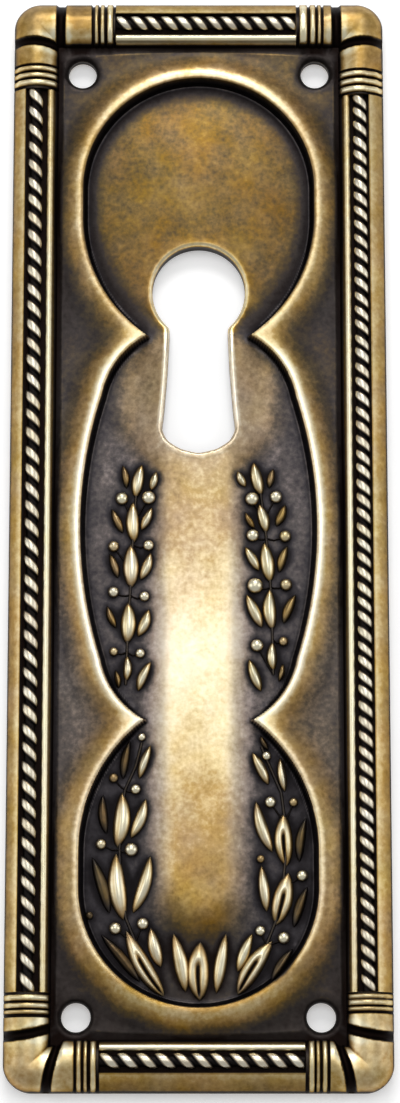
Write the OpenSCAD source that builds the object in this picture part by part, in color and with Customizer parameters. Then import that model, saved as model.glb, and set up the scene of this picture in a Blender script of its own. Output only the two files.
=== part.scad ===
// Keyhole escutcheon of pressed brass sheet with a roped border and a laurel relief.
// The origin is the middle of the back plane. +Z leaves the face, +Y points to the keyhole bow.

/* [Plate] */
// Width of the plate
plate_w = 33; // [31:0.5:38]
// Height of the plate
plate_h = 96.7; // [94:0.1:106]
// Radius of the outer corners
corner_r = 2.4; // [1:0.1:3.4]
// Thickness of the pressed sheet
sheet_t = 0.8; // [0.5:0.05:1]
// Height of the field between border and lobes
field_z = 1.5; // [1.2:0.05:1.8]

/* [Border] */
// Width of the border moulding
border_w = 4; // [3.6:0.1:4.6]
// Height of the border's crest
border_z = 3; // [2.7:0.05:3.4]
// How far the border's arch rises from its edges
border_rise = 1.3; // [0.9:0.05:1.6]
// Width of the channel that holds the rope
channel_w = 1.95; // [1.6:0.05:2.2]
// Depth of that channel below the crest
channel_depth = 0.75; // [0.5:0.05:0.9]

/* [Rope] */
// Radius of the rope bead
rope_r = 0.68; // [0.5:0.02:0.75]
// Distance from strand to strand along the rope
strand_pitch = 1.4; // [1.2:0.05:1.8]
// Slant of the strands across the rope
strand_slant = 50; // [40:1:60]
// Distance from the border's inner corner to the rope's end on a side bar
side_rope_gap = 4.35; // [4:0.05:8]
// The same to the rope's left end on the top bar
top_left_gap = 5.1; // [3.5:0.05:6.5]
// The same to the rope's right end on the top bar
top_right_gap = 3.8; // [3.5:0.05:6.5]
// The same to the rope's left end on the bottom bar
bottom_left_gap = 4.15; // [3.5:0.05:6.5]
// The same to the rope's right end on the bottom bar
bottom_right_gap = 3.55; // [3.5:0.05:6.5]

/* [Ties] */
// Radius of each ring of a tie
ring_r = 0.3; // [0.2:0.02:0.36]
// Distance from ring to ring
ring_pitch = 0.78; // [0.7:0.02:0.85]
// How far a ring stands above the border's arch
ring_proud = 0.2; // [0.1:0.02:0.3]
// Radius of the groove that sets off a corner block
groove_r = 0.42; // [0.25:0.01:0.5]
// How far that groove stands beyond the border's inner corner
groove_inset = 0.3; // [0.1:0.05:0.5]
// Lean of the groove towards the outer corner
groove_lean = 7; // [0:1:12]

/* [Lobes] */
// Distance from the walls of the upper and lower lobes to the side bars
lobe_side_gap = 2.25; // [2:0.05:3]
// Distance from those walls to the top and bottom bars
lobe_end_gap = 3.1; // [2.6:0.1:3.6]
// Radius of the arc that carries the upper lobe to its waist
upper_flank_r = 13.5; // [12.5:0.1:14.5]
// How far below the upper lobe's centre that arc begins
upper_flank_drop = 2.5; // [2:0.1:3]
// Radius of the arc that carries the lower lobe to its waist
lower_flank_r = 14.2; // [13.2:0.1:15.2]
// How far above the lower lobe's centre that arc begins
lower_flank_lift = 3; // [2.5:0.1:3.5]
// Distance from the middle lobe's walls to the side bars
oval_side_gap = 2.2; // [2:0.05:3]
// Distance from the other lobes' centres to the middle lobe's ends
oval_end_gap = 12.9; // [12.5:0.1:13.3]
// Radius of the middle lobe's long sides
oval_side_r = 39; // [36:0.5:42]
// How far the circles at its ends fall short of its half width
oval_shoulder = 1.65; // [1.5:0.05:1.9]
// Distance of those circles' centres from the lobe's long axis
oval_end_x = 0.75; // [0.6:0.05:0.9]
// Height of the middle lobe's centre above the middle of the plate
oval_lift = 0.35; // [0:0.05:0.6]

/* [Lip] */
// Height of the lip round the lobes
lip_z = 2.45; // [2.2:0.05:2.9]
// Radius of the lip's rounded crest
lip_r = 0.7; // [0.55:0.05:0.8]
// How far the lip's crest stands outside the wall
lip_out = 0.5; // [0.35:0.05:0.52]
// Width of the slope from the wall down to the field
lip_slope_w = 2.4; // [1.8:0.1:2.6]

/* [Floor] */
// Height of the floor at the middle of a lobe
floor_top_z = 1.95; // [1.7:0.05:2.2]
// Height of the floor at the walls
floor_edge_z = 1.05; // [0.95:0.05:1.2]

/* [Keyhole] */
// Radius of the keyhole's bow
bow_r = 4.1; // [3.4:0.1:4.4]
// How far the bow's centre lies below the upper lobe's
bow_drop = 9.3; // [8.6:0.1:9.7]
// Distance from the keyhole's neck to the lobes' waist
waist_gap = 1.95; // [1.7:0.05:2.4]
// Half width of the slot at its foot
foot_half_w = 3.2; // [2.8:0.05:3.6]
// Distance from the bow's centre down to the slot's foot
slot_len = 12.7; // [11:0.1:13.1]
// How far the foot's point hangs below it
foot_drop = 2.05; // [1.2:0.05:2.4]
// Width of the rounded edge drawn into the keyhole
rim_w = 0.6; // [0.3:0.05:0.7]

/* [Pin holes] */
// Radius of the four pin holes
pin_r = 1.25; // [0.8:0.05:1.4]
// Distance from each hole's centre to the side bar
pin_side_gap = 2.1; // [1.8:0.05:2.5]
// Distance from each hole's centre to the top or bottom bar
pin_end_gap = 2.35; // [2.1:0.05:2.8]
// Width of the broken edge of each hole
pin_edge = 0.25; // [0.1:0.05:0.3]

/* [Hidden] */
$fn = 64;

over = 0.4;
half_w = plate_w / 2;
half_h = plate_h / 2;
inner_x = half_w - border_w;
inner_y = half_h - border_w;
mid_x = half_w - border_w / 2;
mid_y = half_h - border_w / 2;
arch_r = (pow(border_w / 2, 2) + pow(border_rise, 2)) / (2 * border_rise);
arch_axis_z = border_z - arch_r;
arch_spare_turn = 4;
arch_turn = asin(border_w / 2 / arch_r) + arch_spare_turn;
channel_z = border_z - channel_depth;
side_rope_end = inner_y - side_rope_gap;
top_rope_left = inner_x - top_left_gap;
top_rope_right = inner_x - top_right_gap;
bottom_rope_left = inner_x - bottom_left_gap;
bottom_rope_right = inner_x - bottom_right_gap;
round_lobe_r = inner_x - lobe_side_gap;
round_lobe_y = inner_y - lobe_end_gap - round_lobe_r;
upper_flank_y = round_lobe_y - upper_flank_drop;
lower_flank_y = round_lobe_y - lower_flank_lift;
oval_half_w = inner_x - oval_side_gap;
oval_half_h = round_lobe_y - oval_end_gap;
oval_end_r = oval_half_w - oval_end_x - oval_shoulder;
oval_end_y = oval_half_h - oval_end_r;
bow_y = round_lobe_y - bow_drop;
foot_y = bow_y - slot_len;
pin_x = inner_x - pin_side_gap;
pin_y = inner_y - pin_end_gap;
floor_rise = floor_top_z - floor_edge_z;
dome_y = round_lobe_y - floor_top_z;
dome_half_w = round_lobe_r + lip_out / 2;
dome_r = (pow(dome_half_w, 2) + pow(floor_rise, 2)) / (2 * floor_rise);
ridge_share = 0.74;
ridge_half_w = oval_half_w * ridge_share;
ridge_r = (pow(ridge_half_w, 2) + pow(floor_rise, 2)) / (2 * floor_rise);
ridge_top_y = oval_lift + oval_half_h - oval_end_x;
ridge_foot_y = -round_lobe_y + lip_r;
leaf_rise = floor_rise * 0.6;
lip_fall = lip_r / 3;
lip_root_z = field_z - lip_fall;
ring_start = ring_pitch * 0.6;
groove_steps = 10;
bow_steps = 36;
foot_turn_share = 0.72;
// The arcs that bound the lobes on the right, from the top down: centre, radius and whether a straight
// run along the side leads to the next arc, which otherwise starts where the two cross
lobe_arcs = [
    [[0, round_lobe_y], round_lobe_r, true],
    [[round_lobe_r - upper_flank_r, upper_flank_y], upper_flank_r, false],
    [[oval_end_x, oval_lift + oval_end_y], oval_end_r, false],
    [[oval_half_w - oval_side_r, oval_lift], oval_side_r, false],
    [[oval_end_x, oval_lift - oval_end_y], oval_end_r, false],
    [[round_lobe_r - lower_flank_r, -lower_flank_y], lower_flank_r, true],
    [[0, -round_lobe_y], round_lobe_r, false]];
// Number of flats on each of those arcs
arc_steps = [11, 7, 6, 9, 6, 7, 11];
neck_half_w = arc_start(2, 0)[0] - waist_gap;

// Leaves of one sprig in the middle lobe: tip x, tip y, base x, base y and width, as shares of
// the lobe's half width across and of its half height along
sprig_shares = [
    [0.48, 0.33, 0.53, 0.18, 0.08], [0.54, 0.14, 0.56, -0.03, 0.1], [0.56, -0.06, 0.58, -0.26, 0.12],
    [0.6, -0.32, 0.61, -0.51, 0.12], [0.61, -0.58, 0.61, -0.69, 0.07],
    [0.64, 0.32, 0.61, 0.22, 0.06], [0.73, 0.12, 0.65, 0.02, 0.06], [0.75, -0.09, 0.68, -0.21, 0.06],
    [0.79, -0.34, 0.71, -0.45, 0.06],
    [0.35, 0.29, 0.4, 0.21, 0.06], [0.4, 0.1, 0.49, 0.01, 0.07], [0.4, -0.1, 0.5, -0.21, 0.07],
    [0.41, -0.35, 0.52, -0.49, 0.07], [0.41, -0.64, 0.51, -0.78, 0.06]];
// Berries of one sprig: x, y and radius, as the same shares
sprig_berry_shares = [
    [0.65, 0.16, 0.045], [0.73, -0.05, 0.04], [0.73, -0.28, 0.04], [0.72, -0.57, 0.03],
    [0.44, 0.155, 0.048], [0.45, -0.05, 0.04], [0.47, -0.3, 0.045], [0.49, -0.585, 0.035]];
// Leaves of one half of the wreath in the lower lobe, from that lobe's centre, as shares of its radius
wreath_shares = [
    [0.21, -0.4, 0.13, -0.87, 0.09], [0.41, -0.37, 0.32, -0.66, 0.08], [0.6, -0.41, 0.31, -0.88, 0.12],
    [0.78, -0.47, 0.57, -0.75, 0.09],
    [0.71, 0.18, 0.63, -0.27, 0.12], [0.47, 0.2, 0.55, -0.19, 0.08], [0.88, 0.11, 0.77, -0.23, 0.08],
    [0.67, 0.69, 0.7, 0.27, 0.12], [0.47, 0.71, 0.58, 0.37, 0.08], [0.84, 0.66, 0.8, 0.37, 0.07],
    [0.43, 1.14, 0.54, 0.9, 0.07], [0.61, 1.14, 0.68, 0.88, 0.07]];
// Berries of one half of the wreath: x, y and radius, as the same shares
wreath_berry_shares = [
    [0.7, -0.39, 0.043], [0.48, -0.34, 0.038], [0.83, 0.24, 0.038], [0.55, 0.27, 0.043],
    [0.56, 0.76, 0.037], [0.74, 0.8, 0.033], [0.52, 1.17, 0.03]];
// The leaf at the foot of the wreath: distance of tip and base below the lobe's centre and width
foot_leaf_shares = [0.47, 0.92, 0.16];
// Half width and height of a leaf at steps from its base to its tip, as shares of the leaf's own
leaf_steps_shares = [[0, 0.25, 0.3], [0.3, 0.8, 0.85], [0.6, 1, 1], [0.85, 0.6, 0.8]];

// Outline of the whole plate, drawn in by an inset
module plate_outline(inset = 0) {
    r = max(corner_r - inset, over);
    x = half_w - inset - r;
    y = half_h - inset - r;
    for (sx = [-1, 1], sy = [-1, 1])
        translate([sx * x, sy * y]) circle(r);
    square([2 * (x + r), 2 * y], center = true);
    square([2 * x, 2 * (y + r)], center = true);
}

// Section of the border moulding across its width, drawn in by a skin for its hollow side
module arch_section(skin = 0) {
    intersection() {
        translate([0, arch_axis_z]) circle(arch_r - skin);
        translate([-border_w / 2 + skin, -over]) square([border_w - 2 * skin, border_z + 2 * over]);
    }
}

// A straight bar of the border along X
module bar(len, skin = 0) {
    translate([-len / 2, 0, 0]) rotate([90, 0, 90]) linear_extrude(len) arch_section(skin);
}

// The four bars, mitred where they meet
module border(skin = 0) {
    for (side = [-1, 1]) {
        intersection() {
            translate([0, side * mid_y, 0]) bar(plate_w, skin);
            linear_extrude(border_z + over) mitre(side * half_h, side * inner_y, half_w, inner_x);
        }
        intersection() {
            translate([side * mid_x, 0, 0]) rotate([0, 0, 90]) bar(plate_h, skin);
            linear_extrude(border_z + over)
                rotate(-90) mitre(side * half_w, side * inner_x, half_h, inner_y);
        }
    }
}

// Plan of one bar between its two mitred ends
module mitre(outer, inner, outer_half, inner_half) {
    polygon([[-outer_half, outer], [outer_half, outer], [inner_half, inner], [-inner_half, inner]]);
}

// These three place their children on a bar: +X along it from its middle, +Y across it
module on_top_bar() translate([0, mid_y, 0]) children();
module on_bottom_bar() translate([0, -mid_y, 0]) children();
module on_side_bars() for (side = [-1, 1]) translate([side * mid_x, 0, 0]) rotate(90) children();

// A ring laid over the arch of a bar, whose crest stands proud of it
module arch_ring(along, r, proud) {
    translate([along, 0, arch_axis_z]) rotate([0, 90, 0])
        rotate_extrude(angle = 2 * arch_turn, start = 180 - arch_turn)
            translate([arch_r + proud - r, 0]) circle(r);
}

// The three rings that bind one end of a rope, going outwards from it
module tie(rope_end, way) {
    for (i = [0 : 2])
        arch_ring(way * (rope_end + ring_start + i * ring_pitch), ring_r, ring_proud);
}

module ties() {
    intersection() {
        union() {
            on_top_bar() { tie(top_rope_left, -1); tie(top_rope_right, 1); }
            on_bottom_bar() { tie(bottom_rope_left, -1); tie(bottom_rope_right, 1); }
            on_side_bars() { tie(side_rope_end, -1); tie(side_rope_end, 1); }
        }
        translate([0, 0, field_z]) linear_extrude(border_z) difference() {
            plate_outline();
            square([2 * inner_x, 2 * inner_y], center = true);
        }
    }
}

// A groove cut across the arch of a bar in short flats, centred on the arch's own surface
module arch_groove(along, lean) {
    section = [for (a = [0 : 60 : 300]) [arch_r + groove_r * cos(a), groove_r * sin(a)]];
    n = len(section);
    translate([along, 0, arch_axis_z]) rotate(lean) polyhedron(
        points = [for (i = [0 : groove_steps]) for (s = section)
            let (t = arch_turn * (2 * i / groove_steps - 1)) [s[1], s[0] * sin(t), s[0] * cos(t)]],
        faces = concat(
            [[for (i = [0 : n - 1]) i]],
            [for (k = [0 : groove_steps - 1]) for (i = [0 : n - 1])
                let (a = k * n, j = (i + 1) % n) [a + i, a + n + i, a + n + j, a + j]],
            [[for (i = [n - 1 : -1 : 0]) groove_steps * n + i]]));
}

// The grooves that set the corner blocks off from the bars
module corner_grooves() {
    for (side = [-1, 1], end = [-1, 1]) {
        translate([0, side * mid_y, 0])
            arch_groove(end * (inner_x + groove_inset), -side * end * groove_lean);
        translate([side * mid_x, 0, 0]) rotate(90)
            arch_groove(end * (inner_y + groove_inset), side * end * groove_lean);
    }
}

// The channel of one rope, from its left end to its right end
module channel(left, right) {
    translate([-left, -channel_w / 2, channel_z]) cube([left + right, channel_w, border_z]);
}

// One rope: a bead along X, cut into strands by a row of slanting rounds; twist is 1 or -1
module rope(left, right, twist) {
    len = left + right;
    step = strand_pitch * sin(strand_slant);
    strand_r = step * 0.62;
    count = ceil(len / strand_pitch) + 2;
    reach = rope_r / sin(strand_slant) + strand_r;
    translate([-left, 0, channel_z]) intersection() {
        rotate([90, 0, 90]) linear_extrude(len) circle(rope_r);
        union() {
            translate([0, -rope_r, -rope_r]) cube([len, 2 * rope_r, rope_r]);
            for (i = [-1 : count])
                translate([i * strand_pitch, 0, 0]) rotate(-twist * strand_slant)
                    rotate([0, 90, 0]) cylinder(r = strand_r, h = 2 * reach, center = true);
        }
    }
}

module on_ropes(cut = false) {
    on_top_bar() rope_or_channel(top_rope_left, top_rope_right, 1, cut);
    on_bottom_bar() rope_or_channel(bottom_rope_left, bottom_rope_right, 1, cut);
    on_side_bars() rope_or_channel(side_rope_end, side_rope_end, -1, cut);
}

module rope_or_channel(left, right, twist, cut) {
    if (cut) channel(left, right);
    else rope(left, right, twist);
}

// Crossing of two circles on the right of the line between their centres
function crossing(c1, r1, c2, r2) =
    let (d = c2 - c1, m = norm(d), a = (r1 * r1 - r2 * r2 + m * m) / (2 * m),
        h = sqrt(r1 * r1 - a * a), p = c1 + d * a / m, q = [-d[1], d[0]] * h / m)
    (p + q)[0] > (p - q)[0] ? p + q : p - q;

// The outermost point of arc i of the lobes, with the outline grown by a distance
function arc_side(i, grow) = lobe_arcs[i][0] + [lobe_arcs[i][1] + grow, 0];

// Where that arc begins and ends
function arc_start(i, grow) =
    i == 0 ? [0, round_lobe_y + round_lobe_r + grow] :
    i == len(lobe_arcs) ? [0, -round_lobe_y - round_lobe_r - grow] :
    lobe_arcs[i - 1][2] ? arc_side(i, grow) :
    crossing(lobe_arcs[i - 1][0], lobe_arcs[i - 1][1] + grow, lobe_arcs[i][0], lobe_arcs[i][1] + grow);

function arc_end(i, grow) = lobe_arcs[i][2] ? arc_side(i, grow) : arc_start(i + 1, grow);

function arc_points(i, grow) =
    let (c = lobe_arcs[i][0], r = lobe_arcs[i][1] + grow, n = arc_steps[i],
        from = arc_start(i, grow) - c, to = arc_end(i, grow) - c,
        a = atan2(from[1], from[0]), b = atan2(to[1], to[0]))
    [for (k = [0 : lobe_arcs[i][2] ? n : n - 1]) let (t = a + (b - a) * k / n) c + r * [cos(t), sin(t)]];

// Outline of the three lobes in one, grown by a distance
function lobe_points(grow) =
    let (right = [for (i = [0 : len(lobe_arcs) - 1]) each arc_points(i, grow)])
    concat(right, [arc_start(len(lobe_arcs), grow)],
        [for (i = [len(right) - 1 : -1 : 1]) [-right[i][0], right[i][1]]]);

module lobes(grow = 0) { polygon(lobe_points(grow)); }

// A closed band swept round the lobes, from section points given as [growth, height]
module lobe_band(section) {
    m = len(section);
    n = len(lobe_points(0));
    polyhedron(
        points = [for (s = section) for (p = lobe_points(s[0])) [p[0], p[1], s[1]]],
        faces = [for (k = [0 : m - 1]) for (i = [0 : n - 1])
            let (a = k * n, b = (k + 1) % m * n, j = (i + 1) % n) [a + i, b + i, b + j, a + j]],
        convexity = 8);
}

// The lip: a rounded crest on a slope that runs down into the field
module lip() {
    lobe_band(concat(
        [[-lip_r / 2, lip_root_z]],
        [for (a = [150 : -30 : 30]) [lip_out + lip_r * cos(a), lip_z - lip_r + lip_r * sin(a)]],
        [[lip_slope_w, field_z], [lip_slope_w + lip_fall, lip_root_z]]));
}

// The hollow behind the lip
module lip_hollow() {
    lobe_band([[sheet_t / 2, 0], [sheet_t / 2, lip_z - lip_fall - sheet_t],
        [lip_out + lip_fall, lip_z - lip_fall - sheet_t],
        [lip_slope_w, lip_root_z - sheet_t], [lip_slope_w, 0]]);
}

// The long ridge and the round dome that fill the lobes, lowered by a skin for the hollow side
module domes(skin = 0) {
    translate([0, dome_y, floor_top_z - dome_r]) sphere(dome_r - skin);
    translate([0, 0, floor_top_z - ridge_r]) {
        translate([0, ridge_top_y, 0]) rotate([90, 0, 0])
            cylinder(r = ridge_r - skin, h = ridge_top_y - ridge_foot_y);
        translate([0, ridge_foot_y, 0]) sphere(ridge_r - skin);
    }
}

// What the press takes out of the face inside the lobes
module recess() {
    difference() {
        translate([0, 0, floor_edge_z]) linear_extrude(border_z) lobes();
        domes();
    }
}

// What the press leaves open behind the face
module hollow() {
    translate([0, 0, -over]) linear_extrude(over + floor_edge_z - sheet_t) plate_outline(sheet_t);
    difference() {
        union() {
            translate([0, 0, -over]) linear_extrude(over + field_z - sheet_t) plate_outline(sheet_t);
            border(sheet_t);
            lip_hollow();
        }
        linear_extrude(border_z) lobes(sheet_t);
    }
    intersection() {
        domes(sheet_t);
        translate([0, 0, floor_edge_z - sheet_t - over]) linear_extrude(border_z) lobes();
    }
}

// Height of the floor at a point of the middle or lower lobe
function floor_at(p) =
    let (d = norm([p[0], min(0, p[1] - ridge_foot_y)]))
    max(floor_edge_z, floor_top_z - ridge_r + sqrt(pow(ridge_r, 2) - d * d));

// A laurel leaf from its base to its tip, with a rounded back, rooted below the floor
module leaf(tip, base, width) {
    d = tip - base;
    across = [-d[1], d[0]] / norm(d);
    rings = [for (s = leaf_steps_shares) [for (k = [-1, -0.6, 0, 0.6, 1])
        let (mid = base + d * s[0], p = mid + across * k * s[1] * width / 2)
        [p[0], p[1], floor_at(mid) + leaf_rise * (1.5 * s[2] * (1 - k * k) - 0.5)]]];
    n = len(rings[0]);
    last = n * len(rings);
    polyhedron(
        points = concat([for (r = rings) each r], [[tip[0], tip[1], floor_at(tip) - leaf_rise / 2]]),
        faces = concat(
            [[for (i = [n - 1 : -1 : 0]) i]],
            [for (k = [0 : len(rings) - 2]) for (i = [0 : n - 1]) let (a = k * n, b = a + n, j = (i + 1) % n)
                each [[a + i, b + j, b + i], [a + i, a + j, b + j]]],
            [for (i = [0 : n - 1]) [last - n + i, last - n + (i + 1) % n, last]]));
}

// Leaves and berries of one sprig or half wreath, from tables of shares
module laurel(leaves, berries, scale_x, scale_y, centre_y) {
    for (l = leaves)
        leaf([l[0] * scale_x, centre_y + l[1] * scale_y], [l[2] * scale_x, centre_y + l[3] * scale_y],
            l[4] * scale_x);
    for (b = berries)
        let (p = [b[0] * scale_x, centre_y + b[1] * scale_y])
            translate([p[0], p[1], floor_at(p) + leaf_rise / 3]) sphere(b[2] * scale_x);
}

// The two sprigs of the middle lobe and the wreath of the lower one
module laurels() {
    for (side = [0, 1]) mirror([side, 0, 0]) {
        laurel(sprig_shares, sprig_berry_shares, oval_half_w, oval_half_h, oval_lift);
        laurel(wreath_shares, wreath_berry_shares, round_lobe_r, round_lobe_r, -round_lobe_y);
    }
    leaf([0, -round_lobe_y - foot_leaf_shares[0] * round_lobe_r],
        [0, -round_lobe_y - foot_leaf_shares[1] * round_lobe_r], foot_leaf_shares[2] * round_lobe_r);
}

// Keyhole outline grown by t: the bow's arc and the flared slot with its pointed foot
function keyhole_points(t) =
    let (r = bow_r + t, a = acos((neck_half_w + t) / r))
    [for (i = [0 : bow_steps]) let (b = -a + i * (180 + 2 * a) / bow_steps)
        [r * cos(b), bow_y + r * sin(b)],
     [-foot_half_w - t, foot_y - t / 2],
     [-foot_half_w * foot_turn_share - t / 2, foot_y - foot_drop / 2 - t],
     [0, foot_y - foot_drop - t],
     [foot_half_w * foot_turn_share + t / 2, foot_y - foot_drop / 2 - t],
     [foot_half_w + t, foot_y - t / 2]];

// The rounded edge that is drawn down into the keyhole, as rings of [depth, growth]
module keyhole_edge() {
    top = floor_top_z + over;
    turns = [28, 56, 84];
    rings = [[-over, rim_w], [over, rim_w],
        for (a = turns) [over + rim_w * (1 - cos(a)), rim_w * (1 - sin(a))],
        [over + sheet_t, -rim_w / 5]];
    n = len(keyhole_points(0));
    polyhedron(
        points = [for (k = rings) for (p = keyhole_points(k[1])) [p[0], p[1], top - k[0]]],
        faces = [
            [for (i = [n - 1 : -1 : 0]) i],
            for (k = [0 : len(rings) - 2]) for (i = [0 : n - 1])
                [k * n + i, k * n + (i + 1) % n, (k + 1) * n + (i + 1) % n, (k + 1) * n + i],
            [for (i = [0 : n - 1]) (len(rings) - 1) * n + i]]);
}

// The wall that hangs from the floor round the keyhole
module keyhole_collar() {
    intersection() {
        translate([0, 0, floor_edge_z - sheet_t]) linear_extrude(floor_rise + sheet_t / 2)
            polygon(keyhole_points(sheet_t));
        domes(sheet_t / 2);
    }
}

// The four holes for the pins, with broken edges
module pin_holes() {
    for (sx = [-1, 1], sy = [-1, 1]) translate([sx * pin_x, sy * pin_y, 0]) {
        cylinder(r = pin_r, h = border_z);
        translate([0, 0, field_z - pin_edge])
            cylinder(r1 = pin_r, r2 = pin_r + 2 * pin_edge, h = 2 * pin_edge);
    }
}

// The face as pressed, with no hollow behind it
module face() {
    difference() {
        union() {
            linear_extrude(field_z) plate_outline();
            difference() {
                intersection() {
                    border();
                    linear_extrude(border_z + over) plate_outline();
                }
                on_ropes(cut = true);
            }
            lip();
        }
        recess();
    }
}

module escutcheon_plate() {
    color("darkgoldenrod") difference() {
        union() {
            difference() {
                union() {
                    face();
                    ties();
                    on_ropes();
                    laurels();
                }
                hollow();
            }
            keyhole_collar();
        }
        linear_extrude(border_z) polygon(keyhole_points(0));
        keyhole_edge();
        pin_holes();
        corner_grooves();
    }
}

escutcheon_plate();
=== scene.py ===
"""Keyhole escutcheon of antique brass, dressed over its frame.

Plan work is in millimetres on the plate: X right, Y up, Z off the face. Meshes are made in metres.
"""
import logging
import math
from dataclasses import dataclass, field
from enum import Enum
from typing import Sequence

import bpy
import numpy as np
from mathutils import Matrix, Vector
from mathutils.geometry import delaunay_2d_cdt


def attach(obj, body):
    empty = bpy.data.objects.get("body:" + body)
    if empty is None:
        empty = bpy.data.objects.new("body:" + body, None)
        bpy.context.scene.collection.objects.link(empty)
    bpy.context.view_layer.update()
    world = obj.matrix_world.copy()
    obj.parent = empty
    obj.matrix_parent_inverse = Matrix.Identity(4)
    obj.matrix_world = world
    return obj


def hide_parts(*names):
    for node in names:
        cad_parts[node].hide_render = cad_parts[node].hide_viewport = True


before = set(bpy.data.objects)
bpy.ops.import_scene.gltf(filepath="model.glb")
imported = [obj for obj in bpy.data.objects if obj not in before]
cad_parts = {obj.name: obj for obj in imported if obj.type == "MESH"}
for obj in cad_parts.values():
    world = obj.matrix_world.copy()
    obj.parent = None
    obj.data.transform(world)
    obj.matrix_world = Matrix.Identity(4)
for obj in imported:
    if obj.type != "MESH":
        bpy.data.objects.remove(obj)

LOG = logging.getLogger("escutcheon")
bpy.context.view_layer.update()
MM = 0.001
Array = np.ndarray


# Plan of the plate


@dataclass(frozen=True)
class PlateSize:
    """Driving sizes of the plate, in millimetres."""

    half_w: float = 16.5
    half_h: float = 48.35
    corner_r: float = 2.4
    border_w: float = 4.0
    field_z: float = 1.5
    floor_z: float = 1.05
    floor_rise: float = 0.9
    arch_r: float = 2.188
    arch_axis_z: float = 0.812
    channel_half_w: float = 0.975
    channel_z: float = 2.2
    pin_x: float = 10.4
    pin_y: float = 42.0
    pin_r: float = 1.25

    @property
    def inner_x(self) -> float:
        """Half width of the field."""
        return self.half_w - self.border_w

    @property
    def inner_y(self) -> float:
        """Half height of the field."""
        return self.half_h - self.border_w


SIZE = PlateSize()


@dataclass(frozen=True)
class Profile:
    """A value that runs in straight steps along a measure.

    Attributes:
        places: Where the value is given, rising.
        values: The value at each place.
    """

    places: tuple[float, ...]
    values: tuple[float, ...]

    def at(self, x: Array) -> Array:
        """The value at each x, level beyond both ends."""
        return np.interp(x, self.places, self.values)


@dataclass(frozen=True)
class Arc:
    """One arc of the lobes' outline on the right-hand side."""

    x: float
    y: float
    radius: float
    lobe: int
    run: bool = False


LOBE_ARCS = (
    Arc(0.0, 31.0, 10.25, 0, run=True),
    Arc(-3.25, 28.5, 13.5, 0),
    Arc(0.75, 10.55, 7.9, 1),
    Arc(-28.7, 0.35, 39.0, 1),
    Arc(0.75, -9.85, 7.9, 1),
    Arc(-3.95, -28.0, 14.2, 2, run=True),
    Arc(0.0, -31.0, 10.25, 2),
)


@dataclass(frozen=True)
class Course:
    """How one bar of the border runs.

    Attributes:
        start: Where the rope begins along the bar.
        end: Where the rope ends along the bar.
        pitch: Distance from strand to strand.
        seat: How far outer strip, rope and inner strip are set in.
        start_ties: Place beyond the rope's beginning and half width of each tie ring.
        end_ties: The same beyond the rope's end.
    """

    start: float
    end: float
    pitch: float
    seat: tuple[float, float, float]
    start_ties: tuple[tuple[float, float], ...]
    end_ties: tuple[tuple[float, float], ...]


class Bar(Enum):
    """The four bars of the border."""

    TOP = Course(
        -7.4, 8.7, 1.375, (0.17, 0.0, 0.0),
        ((0.53, 0.27), (1.2, 0.2), (1.75, 0.17)), ((0.66, 0.36), (1.5, 0.26), (2.1, 0.15)),
    )
    BOTTOM = Course(
        -8.35, 8.95, 1.57, (0.64, 0.64, 0.46),
        ((0.52, 0.26), (1.15, 0.17), (1.72, 0.2)), ((0.56, 0.25), (1.1, 0.15), (1.68, 0.21)),
    )
    LEFT = Course(
        -39.95, 40.1, 1.63, (0.12, 0.0, 0.0),
        ((0.5, 0.28), (1.15, 0.25), (1.68, 0.18)), ((0.55, 0.27), (1.22, 0.24), (1.86, 0.22)),
    )
    RIGHT = Course(
        -39.95, 39.55, 1.31, (0.38, 0.14, 0.0),
        ((0.36, 0.2), (0.88, 0.25), (1.4, 0.18)), ((0.5, 0.29), (1.22, 0.26), (1.94, 0.25)),
    )

    @property
    def start(self) -> float:
        """Where the rope begins along the bar."""
        return self.value.start

    @property
    def end(self) -> float:
        """Where the rope ends along the bar."""
        return self.value.end

    @property
    def pitch(self) -> float:
        """Distance from strand to strand."""
        return self.value.pitch

    @property
    def level(self) -> bool:
        """Whether the bar runs along X."""
        return self in (Bar.TOP, Bar.BOTTOM)


@dataclass(frozen=True)
class Leaf:
    """A laurel leaf on the floor of a lobe.

    Attributes:
        tip: Plan place of its point.
        base: Plan place of its foot.
        width: Full width.
        veined: Whether a slit runs up its middle.
        shine: How far it is rubbed, from 0 to 1.
    """

    tip: tuple[float, float]
    base: tuple[float, float]
    width: float
    veined: bool = False
    shine: float = 1.0


@dataclass(frozen=True)
class Berry:
    """A laurel berry."""

    x: float
    y: float
    radius: float
    shine: float = 1.0


def leaves_from(rows: Sequence[tuple], shine: float = 1.0) -> list[Leaf]:
    """Leaves from rows of tip x, tip y, base x, base y, width.

    Args:
        rows: One row for each leaf; a sixth value of 1 makes it veined.
        shine: How far these leaves are rubbed.

    Returns:
        The leaves.
    """
    return [Leaf((r[0], r[1]), (r[2], r[3]), r[4], len(r) > 5, shine) for r in rows]


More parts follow.
